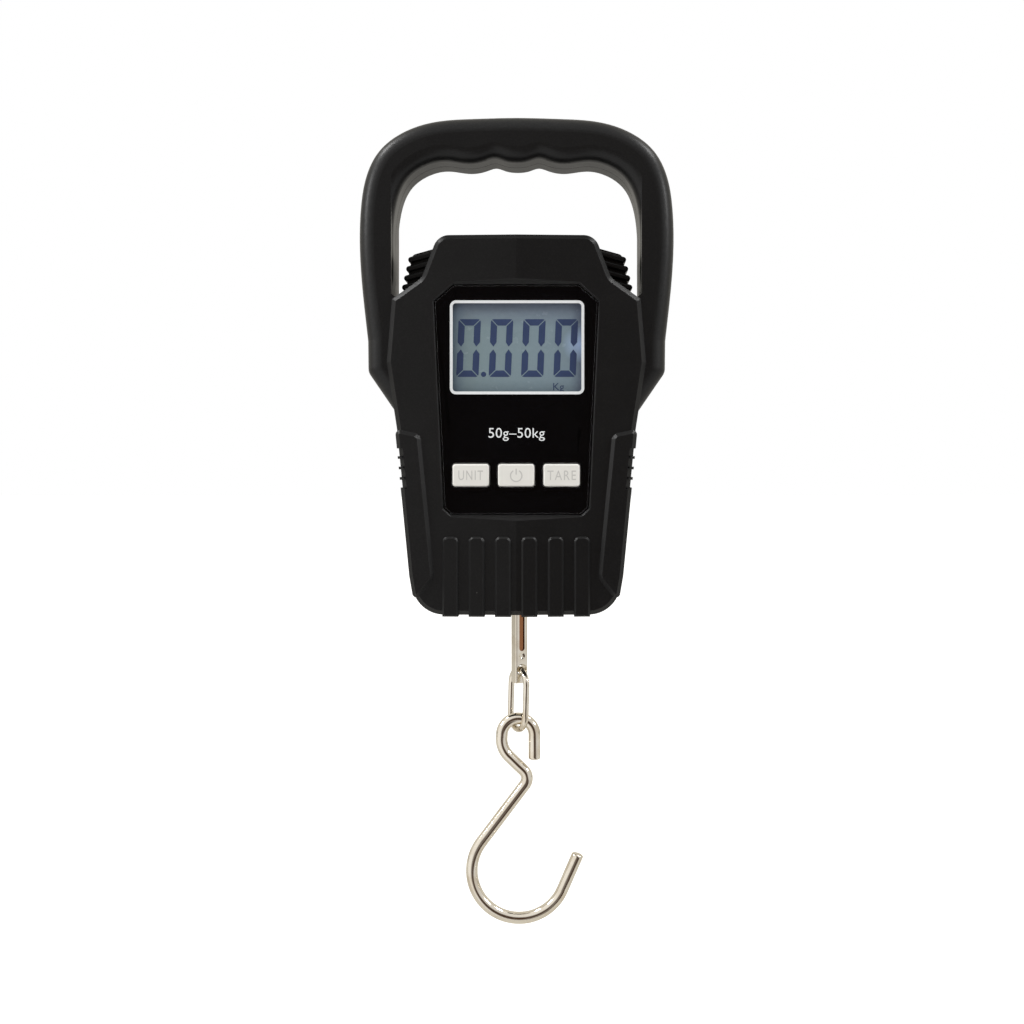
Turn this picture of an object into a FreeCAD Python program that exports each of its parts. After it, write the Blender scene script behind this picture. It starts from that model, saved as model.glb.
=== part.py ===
"""Hand-held digital fish scale: two-shell housing, display, keys, load cell, swivel and hook.

Millimetres. X is the width, Y the depth (the display faces -Y) and Z is up.
The origin is the underside of the grip bar, on the plane where the two shells meet.
"""

import FreeCAD
import Part
import math
import os

from FreeCAD import Vector

# Housing
HANDLE_HALF_DEPTH = 10.5
HANDLE_OUTER_ROUND = 4.5
HANDLE_INNER_ROUND = 3.9
HANDLE_HOLLOW_DEPTH = 7.5
ARM_HOLLOW_HALF = 37.6
ARM_HOLLOW_LOW = -36.0
RIDGE_DEPTH = 13.8
FACET_TILT = math.radians(3.2)
BACK_DEPTH = 14.5
WALL = 2.0
BODY_TOP = -21.0
BODY_BOTTOM = -127.95
EDGE_BEVEL = 1.25
SEAM_WIDTH = 0.25
SEAM_DEPTH = 0.3
BACK_ROUND = 2.0
CAVITY_FRONT = -9.3
CAVITY_BACK = BACK_DEPTH - WALL

# Right half of the outlines, from the top down: (x, z) or (x, z, corner radius)
HANDLE_TOP = 13.2
HANDLE_OUTER = [(12.5, 12.9), (23.5, 12.0), (33.2, 8.6), (39.3, 3.6), (42.8, -3.2),
                (44.5, -13.0), (44.8, -22.0), (44.0, -36.0), (42.4, -50.5)]
ARM_FOOT = [(42.3, -59.4, 3.5), (34.2, -71.2, 0.0)]
OPENING_FOOT_Z = -35.0
FINGER_GRIP = [(0.0, 0.3), (3.6, 0.8), (6.2, 1.55), (9.0, 0.8), (14.1, 0.0), (20.5, 0.7),
               (26.6, -0.8), (31.0, -4.1), (34.2, -11.3), (35.2, -22.0), (35.4, OPENING_FOOT_Z)]
LOWER_BODY = [(36.6, -56.8, 0.0), (33.7, -75.6, 10.0), (28.6, BODY_BOTTOM, 9.0)]
FRONT_BODY = [(22.1, BODY_TOP, 4.5), (26.7, -33.0, 4.0), (35.1, -38.9, 0.0)] + LOWER_BODY
REAR_BODY = [(16.5, BODY_TOP, 4.0), (30.4, -24.9, 1.5), (32.7, -37.6, 0.0)] + LOWER_BODY

# Grip pads and ribs on the front
PAD_RISE = 1.0
PAD_SIDE_RISE = 0.45
PAD_BEVEL = 1.1
PAD_ROUND = 1.4
PAD_INNER = [(26.8, -77.9, 1.6), (22.9, -117.5, 3.0), (26.7, -122.3, 2.0)]
PAD_FOOT = (28.9, -124.0, 1.2)
PAD_TOP_Z = (-75.5, -76.8)
PAD_LOW_Z = -117.0
NOTCH_COUNT = 4
NOTCH_TOP_Z = -81.1
NOTCH_PITCH = 2.95
NOTCH_HEIGHT = 2.2
NOTCH_REACH = 2.0
NOTCH_LEDGE = 0.6
RIB_COUNT = 6
RIB_PITCH = 7.4
RIB_WIDTH = 4.5
RIB_BEVEL = 0.5
RIB_ROUND = 1.5
RIB_RISE = 0.75
RIB_TOP_Z = -105.9
RIB_BOTTOM_Z = BODY_BOTTOM - 0.4

# Shoulder fins of the rear shell
FIN_COUNT = 4
FIN_RADIUS = 0.85
FIN_PITCH = 2.67
FIN_SLOPE = math.radians(15.0)
FIN_OUTER = (30.7, -26.4)
FIN_FRONT = -1.2
FIN_BACK = 11.5
FIN_REACH = 9.0
FIN_ROUND = 0.55
FIN_STEP = 0.6
FIN_CLEAR = 0.25

# Display panel, window and keys
PANEL_FACE = -12.3
PANEL_THICK = 1.5
PANEL_HALF = [(17.7, -34.9), (23.3, -39.7), (20.5, -98.0), (18.3, -99.9)]
PANEL_GAP = 0.15
PANEL_BEVEL = 0.4
FILM_SEAT = 0.25
FILM_GAP = 0.05
WINDOW_CENTRE = (0.2, -52.6)
WINDOW_SIZE = (38.1, 26.9)
WINDOW_ROUND = 1.6
TRIM_WIDTH = 0.85
KEY_SIZE = (10.2, 6.3)
KEY_ROUND = 0.8
KEY_EDGE = 0.45
KEY_PITCH = 12.75
KEY_Z = -88.65
KEY_FACE = -13.3
KEY_HOLE_GAP = 0.3
KEY_FLANGE = 0.7
KEY_NAMES = ("unit", "power", "tare")

# Electronics behind the panel
LCD_SIZE = (41.0, 31.0)
LCD_FRONT = -9.15
LCD_BACK = -7.2
BACKLIGHT_BACK = -4.75
PCB_FRONT = -4.6
PCB_BACK = -3.0
PCB_HALF_WIDTH = 21.5
PCB_Z = (-99.0, -36.0)
SWITCH_FACE = -7.1
PLUNGER_FACE = -7.8
SWITCH_HALF = 3.0
PLUNGER_R = 1.62
CHIP_CENTRE = (-7.0, -56.0)
CHIP_HALF = 3.5
CHIP_PINS = 8
CHIP_PITCH = 0.8
BOARD_POSTS = [(18.6, -75.6), (17.4, -96.1)]

# Load path: bracket, load cell, yoke, hanger, link, hook
PULL_X = 0.55
PULL_Y = 3.0
CELL_HALF_THICK = 4.0
CELL_HALF_WIDTH = 13.0
CELL_Z = (-98.0, -66.0)
CELL_SLOTS = [(-74.2, -1), (-89.8, 1)]
CELL_SLOT_HALF = 1.1
CELL_SLOT_END = 8.5
BEND_HOLE_X = 4.6
BEND_HOLE_R = 4.6
BEND_HOLE_Z = -82.0
GAUGE_FACES = [(-75.3, 1), (-88.7, -1)]
GAUGE_HALF = 2.5
GAUGE_THICK = 0.25
CELL_SCREWS = (-4.5, 4.5)
CELL_SCREW_R = 1.5
CELL_HEAD_R = 2.7
CELL_HEAD_HEIGHT = 2.4
CELL_SOCKET = 1.25
BRACKET_HALF = 27.0
BRACKET_TOP = -63.2
YOKE_HALF_WIDTH = 10.0
YOKE_HALF_DEPTH = 3.8
YOKE_THICK = 2.0
YOKE_PLATE = (-118.5, -116.5)
SHANK_TOP = -112.6
WASHER_R = 3.5
WASHER_THICK = 0.5
NUT_HALF_FLAT = 2.75
NUT_HEIGHT = 2.4
HANGER_YAW = 30.0
HANGER_FACE_WIDTH = 3.9
HANGER_THICK = 3.2
HANGER_Z = (-149.4, -120.5)
HANGER_HOLE_Z = -145.5
HANGER_HOLE_R = 1.45
GROOVE_SIZE = (1.7, 20.0)
GROOVE_Z = -130.0
GROOVE_DEPTH = 0.45
DIMPLE_R = 1.8
DIMPLE_OUT = 1.5
DIMPLE_Z = -141.4
SHANK_R = 1.5
LINK_WIRE_R = 0.9
LINK_BEND_R = 4.5
LINK_BOTTOM_Z = -162.94
LINK_LEAN = 1.9
LINK_SEAM_Z = -155.0
HOOK_WIRE_R = 1.75
HOOK_EYE_R = 4.75
HOOK_X = 0.22
HOOK_Y = 2.62
HOOK_EYE_Z = -164.55
HOOK_LEG_END_Z = -171.7
HOOK_SHOULDER = (-4.9, -168.5)
HOOK_SHOULDER_R = 7.0
HOOK_NECK = (3.85, -176.9)
HOOK_NECK_R = 3.2
HOOK_SHANK_SPLIT = 0.62
HOOK_END_ROUND = 0.6
BOWL_R = 13.8
BOWL_CENTRE = (0.5, -204.2)
HOOK_TIP = (17.7, -199.3)
SPOUT_R = 3.3
SHELF_X = (19.0, 33.0)
SHELF_THICK = 3.0
WEB_X = (25.6, 27.6)
WEB_DROP = 13.0
SCREW_POST_R = 3.0
BOARD_POST_R = 2.1

# Batteries and their door
BATTERY_R = 5.1
BATTERY_HALF = 22.0
BATTERY_POLE_R = 1.9
SPRING_PITCH = 0.62
SPRING_LENGTH = 1.5
SPRING_R = 2.6
SPRING_WIRE_R = 0.22
CONTACT_HALF = 4.2
BATTERY_Y = 7.0
BATTERY_Z = (-33.9, -44.5)
TRAY_HALF = 25.6
TRAY_Z = (-51.1, -27.3)
TRAY_FLOOR = (0.2, 1.4)
TRAY_WALL = 1.2
BATTERY_WIRE_HOLE = (21.6, -36.0)
BATTERY_WIRE_R = 0.45
CELL_WIRE_R = 0.32
CELL_WIRES = 4
DOOR_HALF = 26.0
DOOR_Z = (-51.3, -26.4)
DOOR_Y = (12.6, 14.3)
DOOR_GAP = 0.25
DOOR_FOOT_GAP = 0.85
DENT_R = 3.6
SNAP_LENGTH = 9.0
SNAP_SLOTS = (-6.0, 6.0)
HINGE_Y = 13.2
HINGE_Z = -52.9
HINGE_R = 1.0
HINGE_PIN_R = 0.6
BARREL_X = (13.0, 20.0)

# Fasteners
HOUSING_SCREWS = [(27.0, 6.0, 8.4), (31.3, -60.5, 11.0), (20.5, -118.0, 11.0)]
SCREW_R = 1.3
SCREW_HEAD_R = 2.4
SCREW_HEAD_DEPTH = 1.8


def at(x, z, y=0.0):
    """A point from its place in the front view and its depth."""
    return Vector(x, y, z)


def joined(*shapes):
    """One solid from several that touch."""
    first = shapes[0]
    return first.fuse(list(shapes[1:])).removeSplitter() if len(shapes) > 1 else first


def closed_wire(edges):
    return Part.Wire(Part.__sortEdges__(edges))


def line(a, b):
    return Part.LineSegment(a, b).toShape()


def spline(points):
    curve = Part.BSplineCurve()
    curve.interpolate(points)
    return curve.toShape()


def rounded(corners):
    """Closed outline in the front view from (x, z, radius) corners."""
    edges = []
    starts = []
    ends = []
    count = len(corners)
    for i, (x, z, radius) in enumerate(corners):
        here = at(x, z)
        before = at(*corners[i - 1][:2])
        after = at(*corners[(i + 1) % count][:2])
        if radius == 0:
            starts.append(here)
            ends.append(here)
            continue
        to_before = (before - here).normalize()
        to_after = (after - here).normalize()
        half = to_before.getAngle(to_after) / 2
        reach = radius / math.tan(half)
        start = here + to_before * reach
        end = here + to_after * reach
        bisector = (to_before + to_after).normalize()
        middle = here + bisector * (radius / math.sin(half) - radius)
        edges.append(Part.Arc(start, middle, end).toShape())
        starts.append(start)
        ends.append(end)
    for i in range(count):
        edges.append(line(ends[i - 1], starts[i]))
    return closed_wire(edges)


def both_sides(half):
    """Closes a right-hand half outline with its mirror image."""
    full = [(c[0], c[1], c[2] if len(c) > 2 else 0.0) for c in half]
    return full + [(-x, z, radius) for x, z, radius in reversed(full)]


def slab(wire, y0, y1):
    """The outline's face, from depth y0 to depth y1."""
    face = Part.Face(wire)
    face.translate(Vector(0, y0, 0))
    return face.extrude(Vector(0, y1 - y0, 0))


def box(x, y, z):
    """A box from its (low, high) pairs."""
    return Part.makeBox(x[1] - x[0], y[1] - y[0], z[1] - z[0], Vector(x[0], y[0], z[0]))


def rod(start, end, radius):
    return Part.makeCylinder(radius, (end - start).Length, start, end - start)


def plate(centre, size, radius, y0, y1):
    """A rounded rectangle in the front view, from depth y0 to y1."""
    x, z = centre
    w, h = size[0] / 2, size[1] / 2
    return slab(rounded([(x - w, z - h, radius), (x + w, z - h, radius), (x + w, z + h, radius),
                         (x - w, z + h, radius)]), y0, y1)


def tube(path, radius):
    """A round wire of that radius along a path of edges."""
    first = path.Edges[0]
    start = first.valueAt(first.FirstParameter)
    along = first.tangentAt(first.FirstParameter)
    section = Part.Wire(Part.Circle(start, along, radius).toShape())
    return path.makePipeShell([section], True, False)


def bent_path(points, radius):
    """Straight runs through the points, joined by tangent arcs."""
    edges = []
    last = points[0]
    for before, here, after in zip(points, points[1:], points[2:]):
        to_before = (before - here).normalize()
        to_after = (after - here).normalize()
        half = to_before.getAngle(to_after) / 2
        reach = radius / math.tan(half)
        start = here + to_before * reach
        end = here + to_after * reach
        middle = here + (to_before + to_after).normalize() * (radius / math.sin(half) - radius)
        edges += [line(last, start), Part.Arc(start, middle, end).toShape()]
        last = end
    edges.append(line(last, points[-1]))
    return Part.Wire(edges)


def edges_where(shape, test):
    return [edge for edge in shape.Edges if test(edge)]


def is_circle(edge, radius):
    return hasattr(edge.Curve, "Radius") and abs(edge.Curve.Radius - radius) < 0.001


def facet(x, rise=0.0):
    """Depth of the front's shallow roof at x: two facets that meet in a vertical ridge."""
    return -RIDGE_DEPTH - rise + abs(x) * math.tan(FACET_TILT)


def roof_block(rise):
    """Everything behind the front facets, raised by rise."""
    reach = 60.0
    side = facet(reach, rise)
    corners = [(-reach, 0), (reach, 0), (reach, side), (0, facet(0, rise)), (-reach, side)]
    low = BODY_BOTTOM - 10
    wire = Part.makePolygon([Vector(x, y, low) for x, y in corners + corners[:1]])
    return Part.Face(wire).extrude(Vector(0, 0, BODY_TOP + 10 - low))


def on_front(edge, rise=0.0):
    """Whether an edge lies on the facets, which is where their border is bevelled."""
    points = [edge.valueAt(edge.FirstParameter), edge.valueAt(edge.LastParameter),
              edge.valueAt((edge.FirstParameter + edge.LastParameter) / 2)]
    return all(abs(p.y - facet(p.x, rise)) < 0.01 for p in points)


def shifted(points, distance):
    """Points of a smooth curve moved sideways, to its right as drawn in the front view."""
    curve = Part.BSplineCurve()
    curve.interpolate(points)
    moved = []
    for point in points:
        along = curve.tangent(curve.parameter(point))[0]
        moved.append(point + Vector(along.z, 0, -along.x) * distance)
    return moved


def mirrored_points(half, shared_top):
    """Left-to-right run of points over the top, from the right-hand half."""
    right = [at(x, z) for x, z in half]
    left = [Vector(-p.x, 0, p.z) for p in reversed(right)]
    return left[:-1] + right if shared_top else left + [at(0, HANDLE_TOP)] + right


def handle_outline(inset=0.0):
    """Outer edge of the grip and its two arms, closed across the body."""
    points = shifted(mirrored_points(HANDLE_OUTER, False), inset)
    side_end = points[-1]
    x, z, radius = ARM_FOOT[0]
    corner = at(x - inset, z + inset * 0.35)
    foot = at(ARM_FOOT[1][0] - inset, ARM_FOOT[1][1] + inset * 0.35)
    edges = [spline(points)]
    for mirror in (1, -1):
        arm = [Vector(mirror * p.x, 0, p.z) for p in (side_end, corner, foot)]
        edges += bent_path(arm, radius).Edges
    edges.append(line(foot, at(-foot.x, foot.z)))
    return closed_wire(edges)


def opening_outline(growth=0.0):
    """The finger opening, closed across the top of the body."""
    points = shifted(mirrored_points(FINGER_GRIP, True), -growth)
    corners = ((35.4 + growth, -37.3), (33.9, -38.5), (27.0, -36.0))
    run = [points[-1]] + [at(x, z - growth) for x, z in corners]
    edges = [spline(points)]
    for mirror in (1, -1):
        half = [Vector(mirror * p.x, 0, p.z) for p in run]
        edges += [line(a, b) for a, b in zip(half, half[1:])]
    edges.append(line(run[-1], at(-run[-1].x, run[-1].z)))
    return closed_wire(edges)


def handle_half(side):
    """The grip and arms of one shell; side is -1 in front and 1 behind."""
    depth = side * HANDLE_HALF_DEPTH
    solid = slab(handle_outline(), 0, depth)

    def outer_edge(edge):
        middle = edge.valueAt((edge.FirstParameter + edge.LastParameter) / 2)
        return abs(middle.y - depth) < 0.01 and not (abs(middle.x) < 1 and middle.z < -60)

    solid = solid.makeFillet(HANDLE_OUTER_ROUND, edges_where(solid, outer_edge))
    solid = solid.cut(slab(opening_outline(), -side, depth + side))

    def grip_edge(edge):
        ends = [edge.valueAt(edge.FirstParameter), edge.valueAt(edge.LastParameter)]
        return all(abs(p.y - depth) < 0.01 and abs(p.z - OPENING_FOOT_Z) < 0.1 for p in ends)

    return solid.makeFillet(HANDLE_INNER_ROUND, edges_where(solid, grip_edge))


def handle_hollow(side):
    """Space inside the grip and arms of one shell."""
    depth = side * HANDLE_HOLLOW_DEPTH
    space = slab(handle_outline(WALL), 0, depth)
    space = space.cut(slab(opening_outline(WALL), -side, depth + side))
    return space.cut(box((-ARM_HOLLOW_HALF, ARM_HOLLOW_HALF), (-20, 20), (-80, ARM_HOLLOW_LOW)))


def body_hollow(corners, y0, y1):
    """Space inside the housing between two depths."""
    face = Part.Face(rounded(both_sides(corners))).makeOffset2D(-WALL)
    face.translate(Vector(0, y0, 0))
    return face.extrude(Vector(0, y1 - y0, 0))


def front_block():
    """Front half of the body: two facets, a bevelled border."""
    solid = slab(rounded(both_sides(FRONT_BODY)), 0, -20).common(roof_block(0))

    def border(edge):
        ends = [edge.valueAt(edge.FirstParameter), edge.valueAt(edge.LastParameter)]
        return on_front(edge) and not all(abs(p.x) < 0.01 for p in ends)

    return solid.makeChamfer(EDGE_BEVEL, edges_where(solid, border))


def side_x(z):
    """Half width of the front body at a height on its long tapering side."""
    top, bottom = FRONT_BODY[4], FRONT_BODY[5]
    return top[0] + (z - top[1]) * (bottom[0] - top[0]) / (bottom[1] - top[1])


def grip_pad(mirror):
    """Raised pad along one side of the front, notched along its outer edge."""
    outer_top = side_x(PAD_TOP_Z[0]) + PAD_SIDE_RISE
    outer_low = side_x(PAD_LOW_Z) + PAD_SIDE_RISE
    corners = [PAD_INNER[0], (PAD_INNER[0][0] + 1.2, PAD_TOP_Z[1], PAD_ROUND),
               (outer_top, PAD_TOP_Z[0], PAD_ROUND), (outer_low, PAD_LOW_Z, 3.0),
               PAD_FOOT, PAD_INNER[2], PAD_INNER[1]]
    wire = rounded([(mirror * x, z, radius) for x, z, radius in corners])
    pad = slab(wire, 0, -20).common(roof_block(PAD_RISE))
    pad = pad.makeChamfer(PAD_BEVEL, edges_where(pad, lambda edge: on_front(edge, PAD_RISE)))
    for i in range(NOTCH_COUNT):
        high = NOTCH_TOP_Z - i * NOTCH_PITCH
        outer = side_x(high) + 2
        inner = side_x(high) + PAD_SIDE_RISE - NOTCH_REACH
        span = sorted((mirror * inner, mirror * outer))
        notch = box(span, (-20, 1), (high - NOTCH_HEIGHT, high))
        corner = [edge for edge in notch.Edges if abs(edge.tangentAt(0).y) > 0.9
                  and abs(abs(edge.valueAt(0).x) - inner) < 0.01]
        pad = pad.cut([notch.makeFillet(0.5, corner), ledge_cut(span, high - NOTCH_HEIGHT)])
    return pad


def ledge_cut(span, z):
    """Prism that slopes the front of a notch's lower edge at 45 degrees."""
    front = facet(span[0], PAD_RISE) if abs(span[0]) < abs(span[1]) else facet(span[1], PAD_RISE)
    corners = [(front + NOTCH_LEDGE, z), (front - 2, z - NOTCH_LEDGE - 2), (front - 2, z)]
    prism = Part.makePolygon([Vector(span[0], y, h) for y, h in corners + corners[:1]])
    return Part.Face(prism).extrude(Vector(span[1] - span[0], 0, 0))


def front_rib(x):
    """One rounded rib at the foot of the front, wrapping under the bottom."""
    half = RIB_WIDTH / 2
    wire = rounded([(x - half, RIB_BOTTOM_Z, 0.0), (x + half, RIB_BOTTOM_Z, 0.0),
                    (x + half, RIB_TOP_Z, RIB_ROUND), (x - half, RIB_TOP_Z, RIB_ROUND)])
    rib = slab(wire, 0, -20).common(roof_block(RIB_RISE))
    return rib.makeChamfer(RIB_BEVEL, edges_where(rib, lambda edge: on_front(edge, RIB_RISE)))


def panel_outline(inset=0.0):
    corners = both_sides(PANEL_HALF)
    face = Part.Face(rounded(corners))
    return face.makeOffset2D(-inset).OuterWire if inset else face.OuterWire


def panel_recess():
    """Seat for the display panel, with a 45 degree wall up to the facets."""
    seat = slab(panel_outline(), PANEL_FACE + PANEL_THICK, PANEL_FACE - 0.01)
    low = Part.Face(panel_outline())
    low.translate(Vector(0, PANEL_FACE, 0))
    high = Part.Face(panel_outline(-4.0))
    high.translate(Vector(0, PANEL_FACE - 4.0, 0))
    flare = Part.makeLoft([low.OuterWire, high.OuterWire], True, True)
    return seat.fuse(flare)


def key_centres():
    return [(KEY_PITCH * (i - 1), KEY_Z) for i in range(3)]


def key_holes(y0, y1):
    size = (KEY_SIZE[0] + 2 * KEY_HOLE_GAP, KEY_SIZE[1] + 2 * KEY_HOLE_GAP)
    return [plate(c, size, KEY_ROUND + KEY_HOLE_GAP, y0, y1) for c in key_centres()]


def screw_places():
    return [(side * x, z, head) for x, z, head in HOUSING_SCREWS for side in (1, -1)]


def board_posts():
    return [(side * x, z) for x, z in BOARD_POSTS for side in (1, -1)]


def seam_groove():
    """Rebate round the front shell's rear edge, which leaves a fine line where the two shells meet."""
    ring = box((-60, 60), (-SEAM_WIDTH, 1), (BODY_BOTTOM - 5, HANDLE_TOP + 5))
    grip = slab(handle_outline(SEAM_DEPTH), -1, 2).cut(slab(opening_outline(SEAM_DEPTH), -2, 3))
    body = Part.Face(rounded(both_sides(FRONT_BODY))).makeOffset2D(-SEAM_DEPTH)
    body.translate(Vector(0, -1, 0))
    return ring.cut([grip, body.extrude(Vector(0, 3, 0))])


def front_shell():
    """Front half of the housing with its half of the grip."""
    outside = [handle_half(-1), front_block()]
    outside += [grip_pad(side) for side in (1, -1)]
    outside += [front_rib(RIB_PITCH * (i - (RIB_COUNT - 1) / 2)) for i in range(RIB_COUNT)]
    shell = joined(*outside)
    shell = shell.cut([handle_hollow(-1), body_hollow(FRONT_BODY, 0, CAVITY_FRONT)])
    posts = []
    for x, z, head in screw_places():
        front = -HANDLE_HALF_DEPTH + 1.5 if z > 0 else CAVITY_FRONT - 0.5
        posts.append(rod(at(x, z, 0), at(x, z, front), SCREW_POST_R))
    for x, z in board_posts():
        posts.append(rod(at(x, z, PCB_FRONT), at(x, z, CAVITY_FRONT - 0.5), BOARD_POST_R))
    for side in (1, -1):
        hook_x = sorted((side * 8.0, side * 12.0))
        posts.append(box(hook_x, (CAVITY_FRONT - 0.5, -2.1), (-35.7, -34.7)))
        posts.append(box(hook_x, (PCB_BACK + 0.1, -2.1), (-36.6, -35.6)))
    shell = joined(shell, *posts)
    cuts = [panel_recess()]
    cuts.append(plate(WINDOW_CENTRE, WINDOW_SIZE, WINDOW_ROUND, PANEL_FACE, CAVITY_FRONT + 1))
    cuts += key_holes(PANEL_FACE, CAVITY_FRONT + 1)
    cuts.append(seam_groove())
    cuts += [rod(at(x, z, 1), at(x, z, -6.5), SCREW_R + 0.05) for x, z, head in screw_places()]
    cuts += [rod(at(x, z, -2), at(x, z, -9.0), 0.85) for x, z in board_posts()]
    cuts.append(rod(at(PULL_X, BODY_BOTTOM - 2, PULL_Y), at(PULL_X, BODY_BOTTOM + 5, PULL_Y), SPOUT_R))
    return shell.cut(cuts)


def shoulder_fins(mirror):
    """Rounded bars across the corner of the rear shell beside the grip arms."""
    fins = []
    for i in range(FIN_COUNT):
        outer = at(FIN_OUTER[0] + FIN_STEP * i, FIN_OUTER[1] - FIN_PITCH * i)
        inner = outer + Vector(-math.cos(FIN_SLOPE), 0, math.sin(FIN_SLOPE)) * FIN_REACH
        across = Vector(math.sin(FIN_SLOPE), 0, math.cos(FIN_SLOPE)) * FIN_RADIUS
        along = Vector(math.cos(FIN_SLOPE), 0, -math.sin(FIN_SLOPE)) * FIN_RADIUS
        end = Part.Arc(outer + across, outer + along, outer - across).toShape()
        edges = [line(inner + across, outer + across), end, line(outer - across, inner - across),
                 line(inner - across, inner + across)]
        fin = slab(Part.Wire(edges), FIN_FRONT, FIN_BACK)
        rim = edges_where(fin, lambda edge: abs(edge.CenterOfMass.y - FIN_FRONT) < 0.01)
        rim = [edge for edge in rim if abs(edge.CenterOfMass.x - inner.x) > FIN_RADIUS]
        fins.append(fin.makeFillet(FIN_ROUND, rim))
    fins = fins[0].fuse(fins[1:])
    cover = Part.Face(rounded(both_sides(FRONT_BODY))).makeOffset2D(FIN_CLEAR)
    fins = fins.cut([cover.extrude(Vector(0, -10, 0)), body_hollow(REAR_BODY, 1.0, 13.0)])
    return fins if mirror == 1 else fins.mirror(Vector(0, 0, 0), Vector(1, 0, 0))


def rear_block():
    solid = slab(rounded(both_sides(REAR_BODY)), 0, BACK_DEPTH)

    def border(edge):
        return abs(edge.valueAt((edge.FirstParameter + edge.LastParameter) / 2).y - BACK_DEPTH) < 0.01

    return solid.makeFillet(BACK_ROUND, edges_where(solid, border))


def door_recess():
    """Opening for the battery door, its hinge slots and the ledge it closes against."""
    z0, z1 = DOOR_Z
    width = DOOR_HALF + DOOR_GAP
    opening = box((-width, width), (DOOR_Y[0] - 0.1, BACK_DEPTH + 1), (z0 - DOOR_FOOT_GAP, z1 + DOOR_GAP))
    inside = box((-TRAY_HALF + TRAY_WALL, TRAY_HALF - TRAY_WALL), (TRAY_FLOOR[1], BACK_DEPTH + 1),
                 (TRAY_Z[0] + TRAY_WALL, TRAY_Z[1] - TRAY_WALL))
    cuts = [opening, inside]
    for side in (1, -1):
        x = sorted((side * (BARREL_X[0] - 0.3), side * (BARREL_X[1] + 0.3)))
        cuts.append(box(x, (HINGE_Y - HINGE_R - 0.35, BACK_DEPTH + 1), (HINGE_Z - HINGE_R - 0.4, z0)))
        near, far = side * (BARREL_X[0] - 1.5), side * (BARREL_X[1] + 1.5)
        cuts.append(rod(at(near, HINGE_Z, HINGE_Y), at(far, HINGE_Z, HINGE_Y), HINGE_PIN_R + 0.06))
    return cuts


def tray_block():
    """Battery tray walls and floor, standing on the back wall, with its hinge bosses."""
    block = box((-TRAY_HALF, TRAY_HALF), (TRAY_FLOOR[0], BACK_DEPTH - 1), TRAY_Z)
    ledge = box((-DOOR_HALF - 2, DOOR_HALF + 2), (DOOR_Y[0] - 1.7, BACK_DEPTH - 1),
                (DOOR_Z[0] - 4.6, DOOR_Z[1] + 2))
    return [block, ledge]


def rear_shell():
    """Rear half of the housing with its half of the grip, the battery tray and the load shelves."""
    shell = joined(handle_half(1), rear_block())
    narrow = Part.Face(rounded(both_sides(FRONT_BODY))).makeOffset2D(-WALL)
    narrow.translate(Vector(0, -1, 0))
    mouth = narrow.extrude(Vector(0, 4, 0)).common(body_hollow(REAR_BODY, -1, WALL + 0.01))
    shell = shell.cut([handle_hollow(1), mouth, body_hollow(REAR_BODY, WALL, CAVITY_BACK)])
    adds = [shoulder_fins(1), shoulder_fins(-1)] + tray_block()
    for x, z, head in screw_places():
        back = HANDLE_HALF_DEPTH - 1.0 if z > 0 else BACK_DEPTH - 1.0
        adds.append(rod(at(x, z, 0), at(x, z, back), 3.4))
    for side in (1, -1):
        shelf_x = sorted(side * x for x in SHELF_X)
        adds.append(box(shelf_x, (0, BACK_DEPTH - 1), (CELL_Z[1] - SHELF_THICK, CELL_Z[1])))
        web_x = sorted(side * x for x in WEB_X)
        adds.append(box(web_x, (0, BACK_DEPTH - 1), (CELL_Z[1] - WEB_DROP, CELL_Z[1] - SHELF_THICK + 0.1)))
    shell = joined(shell, *adds)
    shell = shell.common(joined(handle_half(1), rear_block(), shoulder_fins(1), shoulder_fins(-1)))
    cuts = door_recess()
    for x, z, head in screw_places():
        cuts.append(rod(at(x, z, -1), at(x, z, 16), SCREW_R + 0.15))
        cuts.append(rod(at(x, z, head - SCREW_HEAD_DEPTH), at(x, z, 16), SCREW_HEAD_R + 0.3))
    cuts.append(rod(at(PULL_X, BODY_BOTTOM - 2, PULL_Y), at(PULL_X, BODY_BOTTOM + 5, PULL_Y), SPOUT_R))
    for side in (1, -1):
        x, z = side * BATTERY_WIRE_HOLE[0], BATTERY_WIRE_HOLE[1]
        cuts.append(box((x - 0.9, x + 0.9), (TRAY_FLOOR[0] - 1, TRAY_FLOOR[1] + 1), (z - 1.0, z + 1.0)))
    return shell.cut(cuts)


def lens_panel():
    """Clear panel in front of the display, with the key openings."""
    sheet = slab(panel_outline(PANEL_GAP), PANEL_FACE + PANEL_THICK - FILM_SEAT, PANEL_FACE)
    rim = edges_where(sheet, lambda edge: abs(edge.CenterOfMass.y - PANEL_FACE) < 0.01)
    return sheet.makeChamfer(PANEL_BEVEL, rim).cut(key_holes(PANEL_FACE - 1, CAVITY_FRONT))


def lens_mask():
    """Printed film behind the panel, with the display window left clear."""
    back = PANEL_FACE + PANEL_THICK
    film = slab(panel_outline(PANEL_GAP), back - FILM_GAP, back - FILM_SEAT)
    size = (WINDOW_SIZE[0] - 2 * TRIM_WIDTH, WINDOW_SIZE[1] - 2 * TRIM_WIDTH)
    window = plate(WINDOW_CENTRE, size, WINDOW_ROUND - TRIM_WIDTH, PANEL_FACE, CAVITY_FRONT)
    return film.cut(key_holes(PANEL_FACE - 1, CAVITY_FRONT) + [window])


def lcd_glass():
    """Liquid crystal cell: two glasses, the rear one longer for its contacts."""
    front = plate(WINDOW_CENTRE, (LCD_SIZE[0], LCD_SIZE[1] - 5.0), 0.2, LCD_FRONT, LCD_FRONT + 1.0)
    rear = plate(WINDOW_CENTRE, LCD_SIZE, 0.2, LCD_FRONT + 1.0, LCD_BACK)
    return joined(front, rear)


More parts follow.
